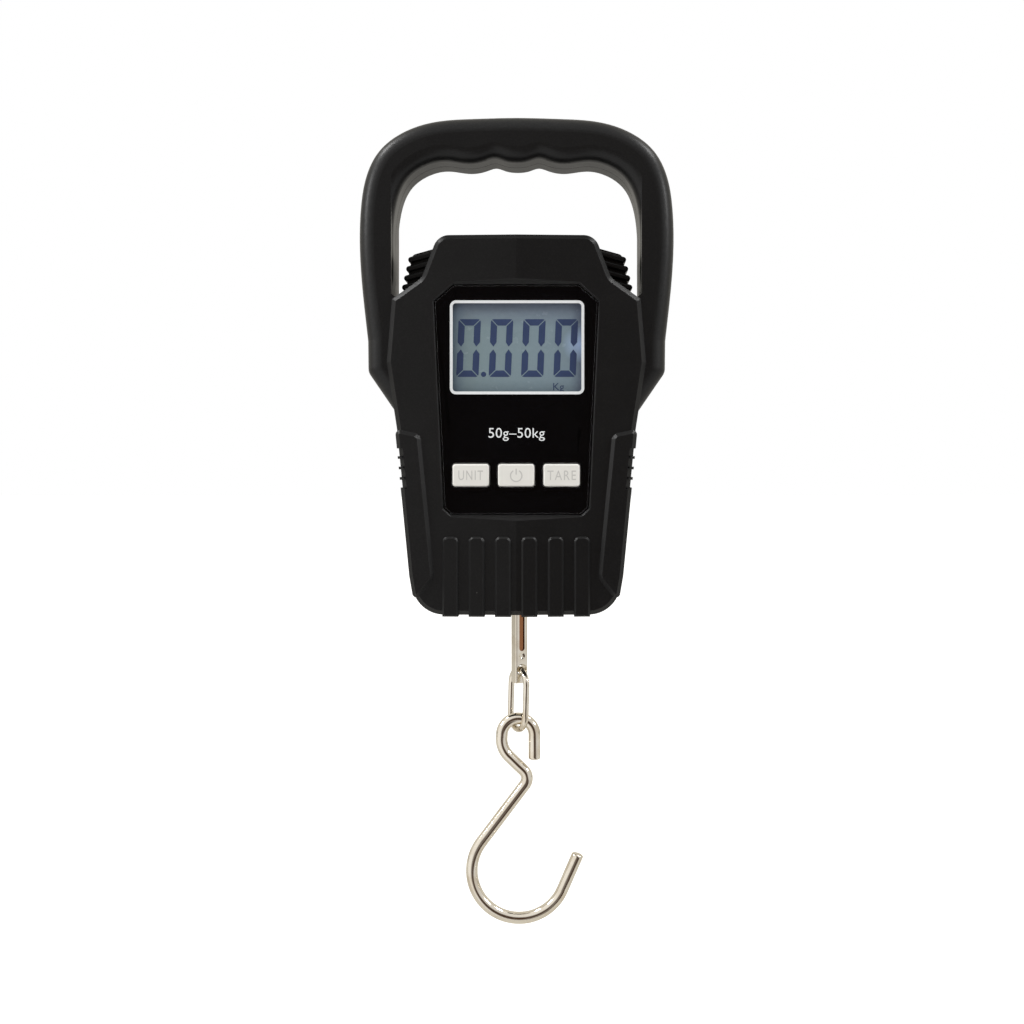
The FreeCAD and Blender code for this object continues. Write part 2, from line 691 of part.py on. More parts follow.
def backlight():
    """Light guide in a white tray, with a side lamp pocket."""
    x, z = WINDOW_CENTRE
    guide = plate((x, z), (LCD_SIZE[0] - 1.0, LCD_SIZE[1] - 6.0), 0.6, LCD_BACK + 0.1, BACKLIGHT_BACK)
    lamp = box((x - 20.0, x - 18.8), (BACKLIGHT_BACK - 1.0, BACKLIGHT_BACK + 0.5), (z - 4, z + 4))
    return guide.cut(lamp)


def lcd_connectors():
    """Conductive rubber strips between the display's contacts and the board."""
    x, z = WINDOW_CENTRE
    strips = []
    for side in (1, -1):
        mid = z + side * (LCD_SIZE[1] / 2 - 1.3)
        strip = box((x - 18.5, x + 18.5), (LCD_BACK + 0.02, PCB_FRONT - 0.02), (mid - 1.0, mid + 1.0))
        strips.append(strip)
    return Part.makeCompound(strips)


def circuit_board():
    low, high = PCB_Z
    half = [(PCB_HALF_WIDTH, high, 1.0), (PCB_HALF_WIDTH, -90.0, 0.0), (PCB_HALF_WIDTH - 1.5, low, 1.0)]
    board = slab(rounded(both_sides(half)), PCB_FRONT, PCB_BACK)
    return board.cut([rod(at(x, z, -6), at(x, z, 0), 1.1) for x, z in board_posts()])


def controller_chip():
    """Square chip package with pins along its four sides."""
    cx, cz = CHIP_CENTRE
    half = CHIP_HALF
    body = box((cx - half, cx + half), (PCB_BACK + 0.15, PCB_BACK + 1.35), (cz - half, cz + half))
    pins = []
    pin_y = (PCB_BACK, PCB_BACK + 0.3)
    for i in range(CHIP_PINS):
        offset = CHIP_PITCH * (i - (CHIP_PINS - 1) / 2)
        across = (offset - 0.15, offset + 0.15)
        for side in (1, -1):
            along = sorted((side * (half - 0.1), side * (half + 0.9)))
            pins.append(box([cx + a for a in along], pin_y, [cz + a for a in across]))
            pins.append(box([cx + a for a in across], pin_y, [cz + a for a in along]))
    return joined(body, *pins)


def switch_bodies():
    """Three push switches soldered to the front of the board."""
    bodies = []
    for x, z in key_centres():
        base = box((x - SWITCH_HALF, x + SWITCH_HALF), (SWITCH_FACE, PCB_FRONT - 0.02),
                   (z - SWITCH_HALF, z + SWITCH_HALF))
        bore = rod(at(x, z, SWITCH_FACE - 1), at(x, z, SWITCH_FACE + 1.5), PLUNGER_R + 0.08)
        bodies.append(base.cut(bore))
    return Part.makeCompound(bodies)


def plunger(index):
    x, z = key_centres()[index]
    return rod(at(x, z, PLUNGER_FACE), at(x, z, SWITCH_FACE + 0.9), PLUNGER_R)


def button(index):
    """Key cap with a rounded face, a flange that holds it in and a stem to its switch."""
    x, z = key_centres()[index]
    cap = plate((x, z), KEY_SIZE, KEY_ROUND, KEY_FACE, CAVITY_FRONT + 0.2)
    cap = cap.makeFillet(KEY_EDGE, edges_where(cap, lambda e: abs(e.CenterOfMass.y - KEY_FACE) < 0.01))
    wide = (KEY_SIZE[0] + 2 * KEY_FLANGE, KEY_SIZE[1] + 2 * KEY_FLANGE)
    flange = plate((x, z), wide, 1.0, CAVITY_FRONT + 0.2, CAVITY_FRONT + 1.0)
    stem = rod(at(x, z, CAVITY_FRONT + 0.9), at(x, z, PLUNGER_FACE - 0.02), 1.5)
    return joined(cap, flange, stem)


def board_screws():
    screws = []
    for x, z in board_posts():
        head = rod(at(x, z, PCB_BACK), at(x, z, PCB_BACK + 1.1), 1.9)
        shank = rod(at(x, z, PCB_BACK + 0.1), at(x, z, -8.4), 0.8)
        cross = [box((x - 1.1, x + 1.1), (PCB_BACK + 0.5, PCB_BACK + 2), (z - 0.25, z + 0.25)),
                 box((x - 0.25, x + 0.25), (PCB_BACK + 0.5, PCB_BACK + 2), (z - 1.1, z + 1.1))]
        screws.append(joined(head, shank).cut(cross))
    return Part.makeCompound(screws)


def load_bracket():
    """Steel cross bar that rests on the shelves of the rear shell and carries the load cell."""
    bar = box((-BRACKET_HALF, BRACKET_HALF), (PULL_Y - CELL_HALF_THICK + 1.2, PULL_Y + CELL_HALF_THICK),
              (CELL_Z[1] + 0.02, BRACKET_TOP))
    bar = bar.makeFillet(1.0, edges_where(bar, lambda e: abs(e.tangentAt(0).z) > 0.9))
    return bar.cut([on_pull(x, CELL_Z[1] - 1, BRACKET_TOP + 1, CELL_SCREW_R + 0.15) for x in CELL_SCREWS])


def on_pull(x, z0, z1, radius):
    """Upright rod beside the pull line at distance x, from z0 to z1."""
    return rod(at(PULL_X + x, z0, PULL_Y), at(PULL_X + x, z1, PULL_Y), radius)


def load_cell():
    """Aluminium S beam: a slot from each side and a two-hole bending section between them."""
    y0, y1 = PULL_Y - CELL_HALF_THICK, PULL_Y + CELL_HALF_THICK
    left, right = PULL_X - CELL_HALF_WIDTH, PULL_X + CELL_HALF_WIDTH
    beam = box((left, right), (y0, y1), CELL_Z)
    beam = beam.makeChamfer(0.4, edges_where(beam, lambda e: abs(e.tangentAt(0).y) > 0.9))
    cuts = []
    through = (y0 - 1, y1 + 1)
    for z, side in CELL_SLOTS:
        start = left - 1 if side < 0 else right + 1
        end = PULL_X - side * CELL_SLOT_END
        cuts.append(box(sorted((start, end)), through, (z - CELL_SLOT_HALF, z + CELL_SLOT_HALF)))
        cuts.append(rod(at(end, z, through[0]), at(end, z, through[1]), CELL_SLOT_HALF))
    for x in (PULL_X - BEND_HOLE_X, PULL_X + BEND_HOLE_X):
        cuts.append(rod(at(x, BEND_HOLE_Z, through[0]), at(x, BEND_HOLE_Z, through[1]), BEND_HOLE_R))
    cuts.append(box((PULL_X - BEND_HOLE_X, PULL_X + BEND_HOLE_X), through,
                    (BEND_HOLE_Z - 1.6, BEND_HOLE_Z + 1.6)))
    for x in CELL_SCREWS:
        cuts.append(on_pull(x, CELL_Z[1] + 1, CELL_Z[1] - 6.0, CELL_SCREW_R + 0.05))
        cuts.append(on_pull(x, CELL_Z[0] - 1, CELL_Z[0] + 6.0, CELL_SCREW_R + 0.05))
    return beam.cut(cuts)


def strain_gauges():
    """Four foil gauges bonded over the thin places of the bending section."""
    pads = []
    for x in (PULL_X - BEND_HOLE_X, PULL_X + BEND_HOLE_X):
        for z, side in GAUGE_FACES:
            pads.append(box((x - GAUGE_HALF, x + GAUGE_HALF), (PULL_Y - GAUGE_HALF, PULL_Y + GAUGE_HALF),
                            sorted((z, z + side * GAUGE_THICK))))
    return Part.makeCompound(pads)


def cell_screws():
    """Screws that hold the load cell up against the bracket."""
    return Part.makeCompound([cap_screw(x, BRACKET_TOP, 1, CELL_Z[1] - 5.4) for x in CELL_SCREWS])


def cap_screw(x, seat, up, end):
    """Socket cap screw beside the pull line; its head stands on seat, above it if up is 1."""
    head = on_pull(x, seat, seat + up * CELL_HEAD_HEIGHT, CELL_HEAD_R)
    socket = sorted((seat + up, seat + up * 3))
    head = head.cut(hexagon(PULL_X + x, PULL_Y, socket[0], socket[1], CELL_SOCKET))
    return joined(head, on_pull(x, seat + up * 0.2, end, CELL_SCREW_R))


def hexagon(x, y, z0, z1, half_flat):
    radius = half_flat / math.cos(math.pi / 6)
    corners = [Vector(x + radius * math.cos(i * math.pi / 3), y + radius * math.sin(i * math.pi / 3), z0)
               for i in range(7)]
    return Part.Face(Part.makePolygon(corners)).extrude(Vector(0, 0, z1 - z0))


def yoke():
    """Bent steel strap screwed under the load cell, with the swivel hole in its lower plate."""
    y0, y1 = PULL_Y - YOKE_HALF_DEPTH, PULL_Y + YOKE_HALF_DEPTH
    low, high = YOKE_PLATE[0], CELL_Z[0] - 0.02
    inside = YOKE_HALF_WIDTH - YOKE_THICK
    outer = box((PULL_X - YOKE_HALF_WIDTH, PULL_X + YOKE_HALF_WIDTH), (y0, y1), (low, high))
    outer = outer.makeFillet(2.6, edges_where(outer, lambda e: abs(e.tangentAt(0).y) > 0.9))
    inner = box((PULL_X - inside, PULL_X + inside), (y0 - 1, y1 + 1), (YOKE_PLATE[1], high - YOKE_THICK))
    inner = inner.makeFillet(0.8, edges_where(inner, lambda e: abs(e.tangentAt(0).y) > 0.9))
    gap = box((PULL_X - 1.0, PULL_X + 1.0), (y0 - 1, y1 + 1), (high - YOKE_THICK - 1, high + 1))
    cuts = [inner, gap, on_pull(0, low - 1, low + 3, SHANK_R + 0.1)]
    cuts += [on_pull(x, high - 3, high + 1, CELL_SCREW_R + 0.15) for x in CELL_SCREWS]
    return outer.cut(cuts)


def yoke_screws():
    seat = CELL_Z[0] - 0.02 - YOKE_THICK
    return Part.makeCompound([cap_screw(x, seat, -1, CELL_Z[0] + 5.4) for x in CELL_SCREWS])


def turned(shape):
    """Turns a hanger or link shape to the yaw they hang at."""
    return shape.rotate(Vector(PULL_X, PULL_Y, 0), Vector(0, 0, 1), HANGER_YAW)


def hanger_bar():
    """Square bar under the case: threaded shank above, shallow groove and dimple, hole for the link."""
    w, t = HANGER_FACE_WIDTH / 2, HANGER_THICK / 2
    bar = box((PULL_X - w, PULL_X + w), (PULL_Y - t, PULL_Y + t), HANGER_Z)
    bar = bar.makeFillet(0.5, edges_where(bar, lambda e: abs(e.tangentAt(0).z) > 0.9))
    bar = bar.makeChamfer(0.35, edges_where(bar, lambda e: abs(e.CenterOfMass.z - HANGER_Z[0]) < 0.01))
    bar = joined(bar, on_pull(0, HANGER_Z[1] - 0.5, SHANK_TOP, SHANK_R))
    cuts = []
    for side in (1, -1):
        face = PULL_Y + side * t
        cuts.append(plate((PULL_X, GROOVE_Z), GROOVE_SIZE, GROOVE_SIZE[0] / 2.02,
                          face - side * GROOVE_DEPTH, face + side))
        cuts.append(Part.makeSphere(DIMPLE_R, Vector(PULL_X, face + side * DIMPLE_OUT, DIMPLE_Z)))
    near, far = at(PULL_X, HANGER_HOLE_Z, PULL_Y - 5), at(PULL_X, HANGER_HOLE_Z, PULL_Y + 5)
    cuts.append(rod(near, far, HANGER_HOLE_R))
    bar = bar.cut(cuts)
    rim = edges_where(bar, lambda e: is_circle(e, HANGER_HOLE_R))
    rim = [e for e in rim if abs(abs(e.CenterOfMass.y - PULL_Y) - t) < 0.1]
    return turned(bar.makeChamfer(0.25, rim))


def swivel_washer():
    seat = YOKE_PLATE[1] + 0.1
    ring = on_pull(0, seat, seat + WASHER_THICK, WASHER_R)
    return ring.cut(on_pull(0, seat - 1, seat + 1, SHANK_R + 0.05))


def swivel_nut():
    seat = YOKE_PLATE[1] + WASHER_THICK + 0.12
    nut = hexagon(PULL_X, PULL_Y, seat, seat + NUT_HEIGHT, NUT_HALF_FLAT)
    return nut.cut(on_pull(0, seat - 1, seat + 4, SHANK_R + 0.02))


def chain_link():
    """Closed wire oval through the hanger's hole."""
    top = HANGER_HOLE_Z
    upper, lower = top - LINK_BEND_R, LINK_BOTTOM_Z + LINK_BEND_R
    near, far = PULL_Y - LINK_BEND_R, PULL_Y + LINK_BEND_R
    corners = [at(PULL_X, z, y) for z, y in ((lower, near), (upper, near), (upper, far), (lower, far))]
    path = Part.Wire([line(corners[0], corners[1]),
                      Part.Arc(corners[1], at(PULL_X, top, PULL_Y), corners[2]).toShape(),
                      line(corners[2], corners[3]),
                      Part.Arc(corners[3], at(PULL_X, LINK_BOTTOM_Z, PULL_Y), corners[0]).toShape()])
    link = tube(path, LINK_WIRE_R)
    seam = rod(at(PULL_X, LINK_SEAM_Z, near), at(PULL_X, LINK_SEAM_Z - 0.2, near), 2 * LINK_WIRE_R)
    core = rod(at(PULL_X, LINK_SEAM_Z + 1, near), at(PULL_X, LINK_SEAM_Z - 1, near), LINK_WIRE_R - 0.12)
    link = link.cut(seam.cut(core))
    link = link.rotate(at(PULL_X, HANGER_HOLE_Z, PULL_Y), Vector(0, -1, 0), -LINK_LEAN)
    return turned(link)


def touch_point(centre, radius, outside, turn):
    """Where the straight run from a point outside meets a circle, tangent to it."""
    dx, dz = outside[0] - centre[0], outside[1] - centre[1]
    angle = math.atan2(dz, dx) + turn * math.acos(radius / math.hypot(dx, dz))
    return centre[0] + radius * math.cos(angle), centre[1] + radius * math.sin(angle)


def hook():
    """Round wire bent into an eye, a slanting shank and a bowl."""
    y = HOOK_Y
    eye_left, eye_right = HOOK_X - HOOK_EYE_R, HOOK_X + HOOK_EYE_R
    leg = line(at(eye_right, HOOK_LEG_END_Z, y), at(eye_right, HOOK_EYE_Z, y))
    eye = Part.Arc(at(eye_right, HOOK_EYE_Z, y), at(HOOK_X, HOOK_EYE_Z + HOOK_EYE_R, y),
                   at(eye_left, HOOK_EYE_Z, y)).toShape()
    start = touch_point(BOWL_CENTRE, BOWL_R, HOOK_NECK, 1)
    end = touch_point(BOWL_CENTRE, BOWL_R, HOOK_TIP, -1)
    shoulder, neck = at(*HOOK_SHOULDER, y), at(*HOOK_NECK, y)
    shank = shoulder + (neck - shoulder) * HOOK_SHANK_SPLIT
    upper = bent_path([at(eye_left, HOOK_EYE_Z, y), shoulder, shank], HOOK_SHOULDER_R)
    lower = bent_path([shank, neck, at(*start, y)], HOOK_NECK_R)
    bowl = Part.Arc(at(*start, y), at(BOWL_CENTRE[0], BOWL_CENTRE[1] - BOWL_R, y), at(*end, y)).toShape()
    tip = line(at(*end, y), at(*HOOK_TIP, y))
    path = Part.Wire([leg, eye] + upper.Edges + lower.Edges + [bowl, tip])
    wire = tube(path, HOOK_WIRE_R)
    cut_ends = [at(eye_right, HOOK_LEG_END_Z, y), at(*HOOK_TIP, y)]
    rims = edges_where(wire, lambda e: any((e.CenterOfMass - end).Length < 0.01 for end in cut_ends))
    return wire.makeFillet(HOOK_END_ROUND, rims)


def battery(index):
    """AAA cell lying across the tray, its pole to one side."""
    z = BATTERY_Z[index]
    side = 1 if index == 0 else -1
    flat, shoulder = -side * BATTERY_HALF, side * (BATTERY_HALF - 0.2)
    can = rod(at(flat, z, BATTERY_Y), at(shoulder, z, BATTERY_Y), BATTERY_R)
    can = can.makeFillet(0.6, edges_where(can, lambda e: is_circle(e, BATTERY_R)))
    pole = (shoulder - side * 0.3, side * (BATTERY_HALF + 0.8))
    return joined(can, rod(at(pole[0], z, BATTERY_Y), at(pole[1], z, BATTERY_Y), BATTERY_POLE_R))


def battery_springs():
    """Coil springs against the flat ends of the two cells."""
    coils = []
    for index, side in ((0, -1), (1, 1)):
        helix = Part.makeHelix(SPRING_PITCH, SPRING_LENGTH, SPRING_R)
        start = helix.Edges[0].valueAt(helix.Edges[0].FirstParameter)
        along = helix.Edges[0].tangentAt(helix.Edges[0].FirstParameter)
        section = Part.Wire(Part.Circle(start, along, SPRING_WIRE_R).toShape())
        coil = helix.makePipeShell([section], True, True)
        coil = coil.rotate(Vector(0, 0, 0), Vector(0, 1, 0), side * 90)
        coil = coil.translate(at(side * (BATTERY_HALF + 0.35), BATTERY_Z[index], BATTERY_Y))
        coils.append(coil)
    return Part.makeCompound(coils)


def battery_contacts():
    """Plated spring-steel plates in the tray ends; the pole side has a raised button."""
    plates = []
    inner = TRAY_HALF - TRAY_WALL
    for side in (1, -1):
        x = sorted((side * (inner - 0.05), side * (inner - 0.35)))
        for index in (0, 1):
            z = BATTERY_Z[index]
            plates.append(box(x, (BATTERY_Y - CONTACT_HALF, BATTERY_Y + CONTACT_HALF),
                              (z - CONTACT_HALF, z + CONTACT_HALF)))
    pole_sides = [(0, 1), (1, -1)]
    solids = []
    for index, side in pole_sides:
        z = BATTERY_Z[index]
        x = side * (inner - 0.2)
        solids.append(rod(at(x, z, BATTERY_Y), at(side * (BATTERY_HALF + 0.85), z, BATTERY_Y), 1.4))
    link_x = (-inner + 0.05, -inner + 0.35)
    bridge = box(link_x, (BATTERY_Y - 2, BATTERY_Y + 2), (BATTERY_Z[1] + 4.0, BATTERY_Z[0] - 4.0))
    right_top = joined(plates[0], solids[0])
    right_low = plates[1]
    left = joined(plates[2], plates[3], solids[1], bridge)
    return Part.makeCompound([right_top, right_low, left])


def battery_wires():
    """Two short leads from the contacts, through the tray floor, to the board."""
    wires = []
    x, z = BATTERY_WIRE_HOLE
    for side in (1, -1):
        foot_x, foot_z = side * (x - 3.4), z - 5.0
        points = [at(side * x, z, 2.2), at(side * x, z, -1.3), at(foot_x, foot_z, -1.3),
                  at(foot_x, foot_z, PCB_BACK)]
        wires.append(tube(bent_path(points, 0.8), BATTERY_WIRE_R))
    return Part.makeCompound(wires)


def load_cell_wires():
    """Four thin leads from the load cell up to the board."""
    wires = []
    for i in range(CELL_WIRES):
        x = PULL_X + i - (CELL_WIRES - 1) / 2
        points = [at(x, -70.0, PULL_Y - CELL_HALF_THICK), at(x, -70.0, -2.0), at(x, -62.0, -2.0),
                  at(x, -62.0, PCB_BACK)]
        wires.append(tube(bent_path(points, 0.45), CELL_WIRE_R))
    return Part.makeCompound(wires)


def battery_door():
    """Flat door over the cells, hinged at its lower edge, with a finger dent and a snap at the top."""
    z0, z1 = DOOR_Z
    y0, y1 = DOOR_Y
    panel = plate((0, (z0 + z1) / 2), (2 * DOOR_HALF, z1 - z0), 0.6, y0, y1)
    adds = []
    for side in (1, -1):
        x = sorted((side * BARREL_X[0], side * BARREL_X[1]))
        adds.append(rod(at(x[0], HINGE_Z, HINGE_Y), at(x[1], HINGE_Z, HINGE_Y), HINGE_R))
        adds.append(box(x, (HINGE_Y - 0.5, HINGE_Y + 0.6), (HINGE_Z, z0 + 0.5)))
        near, far = side * (BARREL_X[0] - 1.1), side * (BARREL_X[1] + 1.1)
        adds.append(rod(at(near, HINGE_Z, HINGE_Y), at(far, HINGE_Z, HINGE_Y), HINGE_PIN_R))
    adds.append(box((-4, 4), (y0, y0 + 0.7), (z1 - 0.1, z1 + 0.15)))
    door = joined(panel, *adds)
    dent = rod(at(0, z1 - 5.5, y1 - 0.7), at(0, z1 - 5.5, y1 + 1), DENT_R)
    slots = [box((x - 0.4, x + 0.4), (y0 - 1, y1 + 1), (z1 - SNAP_LENGTH, z1 + 1)) for x in SNAP_SLOTS]
    return door.cut([dent] + slots)


def housing_screws():
    screws = []
    for x, z, head_top in screw_places():
        seat = head_top - SCREW_HEAD_DEPTH
        head = rod(at(x, z, seat), at(x, z, head_top), SCREW_HEAD_R)
        shank = rod(at(x, z, seat + 0.1), at(x, z, -5.6), SCREW_R)
        cross = [box((x - 1.4, x + 1.4), (head_top - 1.0, head_top + 1), (z - 0.32, z + 0.32)),
                 box((x - 0.32, x + 0.32), (head_top - 1.0, head_top + 1), (z - 1.4, z + 1.4))]
        screws.append(joined(head, shank).cut(cross))
    return Part.makeCompound(screws)


def main():
    os.makedirs("parts", exist_ok=True)
    pieces = {
        "front_shell": front_shell(),
        "rear_shell": rear_shell(),
        "housing_screws": housing_screws(),
        "lens_panel": lens_panel(),
        "lens_mask": lens_mask(),
        "lcd_glass": lcd_glass(),
        "backlight": backlight(),
        "lcd_connectors": lcd_connectors(),
        "circuit_board": circuit_board(),
        "board_screws": board_screws(),
        "controller_chip": controller_chip(),
        "switch_bodies": switch_bodies(),
        "load_bracket": load_bracket(),
        "cell_screws": cell_screws(),
        "load_cell": load_cell(),
        "strain_gauges": strain_gauges(),
        "load_cell_wires": load_cell_wires(),
        "yoke": yoke(),
        "yoke_screws": yoke_screws(),
        "hanger_bar": hanger_bar(),
        "swivel_washer": swivel_washer(),
        "swivel_nut": swivel_nut(),
        "chain_link": chain_link(),
        "hook": hook(),
        "battery_upper": battery(0),
        "battery_lower": battery(1),
        "battery_springs": battery_springs(),
        "battery_contacts": battery_contacts(),
        "battery_wires": battery_wires(),
        "battery_door": battery_door(),
    }
    for index, name in enumerate(KEY_NAMES):
        pieces["button_" + name] = button(index)
        pieces["plunger_" + name] = plunger(index)
    for name, shape in pieces.items():
        shape.exportStep("parts/" + name + ".step")


main()
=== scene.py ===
import math

import bpy
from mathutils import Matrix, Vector


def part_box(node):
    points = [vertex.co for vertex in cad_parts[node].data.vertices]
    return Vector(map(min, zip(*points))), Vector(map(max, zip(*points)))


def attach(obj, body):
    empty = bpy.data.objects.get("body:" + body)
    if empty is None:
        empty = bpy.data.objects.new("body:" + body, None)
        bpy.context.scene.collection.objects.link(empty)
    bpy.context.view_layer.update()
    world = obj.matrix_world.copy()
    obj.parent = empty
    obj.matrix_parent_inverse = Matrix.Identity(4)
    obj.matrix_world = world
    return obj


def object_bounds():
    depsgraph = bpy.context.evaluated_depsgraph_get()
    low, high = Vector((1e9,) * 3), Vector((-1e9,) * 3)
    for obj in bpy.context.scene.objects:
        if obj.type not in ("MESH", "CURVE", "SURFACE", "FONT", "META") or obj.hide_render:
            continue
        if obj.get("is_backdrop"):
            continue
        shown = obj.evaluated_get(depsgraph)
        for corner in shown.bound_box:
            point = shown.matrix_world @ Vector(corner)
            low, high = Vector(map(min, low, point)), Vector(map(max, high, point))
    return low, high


MM = 0.001

# Camera: level, in front of the keys and a little to their right, its view shifted to centre the object
CAMERA_DISTANCE = 400 * MM
CAMERA_SIDE = 9 * MM
CAMERA_HEIGHT = -84.6 * MM
CAMERA_LENS = 48.49
CAMERA_SENSOR = 36.0
CAMERA_SHIFT = (-0.0354, -0.05)

# Lamps, one of each kind at either side: name, (x, y, z) on the right, width and power
LAMPS = [("high", (0.54, -0.04, 0.58), 0.16, 3.4), ("low", (0.70, -0.22, 0.22), 0.12, 1.8)]
LAMP_SIDES = [("left", -1, 1.0), ("right", 1, 0.75)]
LAMP_AIM = (0.0, 0.0, -0.03)

# Surroundings: the room's colours, and two dark round patches: direction, inner and outer angle, colour
ROOM_LEFT = (1.16, 1.15, 1.14)
ROOM_RIGHT = (0.84, 0.84, 0.84)
ROOM_BEHIND = (0.80, 0.77, 0.70)
DARK_PATCHES = [((0.08, -1.0, 0.05), 13.0, 33.0, (0.085, 0.052, 0.034)),
                ((0.34, -0.80, -0.50), 9.0, 26.0, (0.09, 0.06, 0.045))]
WHITE = (1.0, 1.0, 1.0)

# Floor
FLOOR_DROP = 30 * MM
FLOOR_FRONT = 50 * MM
FLOOR_REACH = 6.0

# Surface shading of the CAD nodes
CREASE_ANGLE = math.radians(30.0)
EDGE_REACH = 0.25 * MM
PANEL_EDGE_REACH = 0.12 * MM
METAL_STREAKS = 420.0

# Hanger: its turn about the upright axis, and its groove with a painted dark reflection
HANGER_YAW = math.radians(30.0)
GROOVE_FOOT = 9.0 * MM
GROOVE_FADE = 0.3 * MM
GROOVE_HALF_WIDTH = 0.95 * MM
GROOVE_FLOOR = 1.52 * MM
GROOVE_SOFTNESS = 0.08 * MM

# Battery sleeve: where its copper-coloured end starts and is complete
SLEEVE_BAND = (11.8 * MM, 12.2 * MM)

# Display: places are from the middle of the glass
DIGIT_COUNT = 4
DIGIT_HEIGHT = 16.4 * MM
DIGIT_WIDTH = 6.35 * MM
DIGIT_PITCH = 9.18 * MM
DIGIT_SLANT = math.tan(math.radians(2.4))
DIGITS_CORNER = (-17.3 * MM, -8.25 * MM)
SEGMENT = 1.85 * MM
SEGMENT_GAP = 0.26 * MM
SEGMENT_ROUND = 0.85 * MM
SEGMENT_POINT = 1.25 * MM
HALVES_GAP = 0.75 * MM
POINT_SIZE = 1.5 * MM
POINT_GAP = 1.42 * MM
UNIT_MARK_PLACE = (11.75 * MM, -11.0 * MM)
UNIT_MARK_HEIGHT = 2.1 * MM
FRAME_SIZE = (37.9 * MM, 26.5 * MM)
FRAME_LINE = 0.80 * MM
FRAME_ROUND = 1.7 * MM
# Painted glow on the display glass: its place from the middle of the glass, and the distances over which
# it fades out
PAINTED_GLOW_PLACE = (18.2 * MM, 1.1 * MM)
PAINTED_GLOW_REACH = (0.4 * MM, 5.5 * MM)

# Prints: the capacity's place is from the middle of the film
PRINT_LIFT = 0.02 * MM
PRINT_THICK = 0.01 * MM
CAPACITY_PLACE = (0.1 * MM, -9.3 * MM)
CAPACITY_HEIGHT = 2.75 * MM
CAPACITY_SPACING = 1.06
KEY_WORDS = [("unit", "UNIT", 6.9 * MM), ("tare", "TARE", 8.0 * MM)]
KEY_WORD_HEIGHT = 2.65 * MM
KEY_WORD_SPACING = 1.2
POWER_DROP = 0.15 * MM
POWER_RING = 1.6 * MM
POWER_STROKE = 0.34 * MM
POWER_ARC = (120.0, 420.0)
POWER_BAR = (0.35 * MM, 2.0 * MM)


def new_material(name):
    """An empty node material and its Principled shader."""
    made = bpy.data.materials.new(name)
    made.use_nodes = True
    return made, made.node_tree.nodes["Principled BSDF"]


def add_node(tree, kind, **values):
    """A new node with the given settings."""
    node = tree.nodes.new(kind)
    for key, value in values.items():
        setattr(node, key, value)
    return node


def middle_of(name):
    """The middle of a CAD node's box."""
    low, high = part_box(name)
    return (low + high) / 2


def place_on(tree):
    """The point on the piece, in its own metres."""
    return add_node(tree, "ShaderNodeTexCoord").outputs["Object"]


def noise(tree, scale, detail=2.0, roughness=0.5, stretch=None):
    """Soft noise from 0 to 1. stretch squeezes it along an axis, for brushed or drawn marks."""
    texture = add_node(tree, "ShaderNodeTexNoise")
    texture.inputs["Scale"].default_value = scale
    texture.inputs["Detail"].default_value = detail
    texture.inputs["Roughness"].default_value = roughness
    where = place_on(tree)
    if stretch:
        mapping = add_node(tree, "ShaderNodeMapping")
        mapping.inputs["Scale"].default_value = stretch
        tree.links.new(where, mapping.inputs["Vector"])
        where = mapping.outputs["Vector"]
    tree.links.new(where, texture.inputs["Vector"])
    return texture.outputs["Fac"]


def spread(tree, value, low, high, start=0.0, end=1.0):
    """value, from start to end, spread over low to high."""
    ranged = add_node(tree, "ShaderNodeMapRange")
    for key, number in (("From Min", start), ("From Max", end), ("To Min", low), ("To Max", high)):
        ranged.inputs[key].default_value = number
    tree.links.new(value, ranged.inputs["Value"])
    return ranged.outputs["Result"]


def blend_colour(tree, factor, a, b):
    """Colour a where factor is 0 and b where it is 1; each is a colour or a socket."""
    mix = add_node(tree, "ShaderNodeMix", data_type="RGBA")
    tree.links.new(factor, mix.inputs["Factor"])
    for key, colour in (("A", a), ("B", b)):
        socket = [s for s in mix.inputs if s.name == key and s.type == "RGBA"][0]
        if isinstance(colour, tuple):
            socket.default_value = (*colour, 1.0)
        else:
            tree.links.new(colour, socket)
    return [s for s in mix.outputs if s.type == "RGBA"][0]


def bump(tree, shader, height, strength, depth):
    """Lets height push the shader's surface up and down by depth, in metres."""
    node = add_node(tree, "ShaderNodeBump")
    node.inputs["Strength"].default_value = strength
    node.inputs["Distance"].default_value = depth
    tree.links.new(height, node.inputs["Height"])
    tree.links.new(node.outputs["Normal"], shader.inputs["Normal"])


def product(tree, first, second):
    """Two shares multiplied."""
    both = add_node(tree, "ShaderNodeMath", operation="MULTIPLY")
    tree.links.new(first, both.inputs[0])
    tree.links.new(second, both.inputs[1])
    return both.outputs[0]


def specks(tree, per_metre, size, share):
    """1 on a few small round specks of dust, 0 elsewhere."""
    cells = add_node(tree, "ShaderNodeTexVoronoi")
    cells.inputs["Scale"].default_value = per_metre
    tree.links.new(place_on(tree), cells.inputs["Vector"])
    near = spread(tree, cells.outputs["Distance"], 1.0, 0.0, 0.0, size)
    split = add_node(tree, "ShaderNodeSeparateColor")
    tree.links.new(cells.outputs["Color"], split.inputs["Color"])
    chosen = spread(tree, split.outputs["Red"], 0.0, 1.0, 1.0 - share, 1.001 - share)
    return product(tree, near, chosen)


def edge_mask(tree, reach=EDGE_REACH):
    """1 along the edges of the piece, 0 on its flats: where a rounded normal leaves the true one."""
    rounded = add_node(tree, "ShaderNodeBevel", samples=4)
    rounded.inputs["Radius"].default_value = reach
    true = add_node(tree, "ShaderNodeNewGeometry")
    alike = add_node(tree, "ShaderNodeVectorMath", operation="DOT_PRODUCT")
    tree.links.new(rounded.outputs["Normal"], alike.inputs[0])
    tree.links.new(true.outputs["Normal"], alike.inputs[1])
    return spread(tree, alike.outputs["Value"], 1.0, 0.0, 0.90, 0.995)


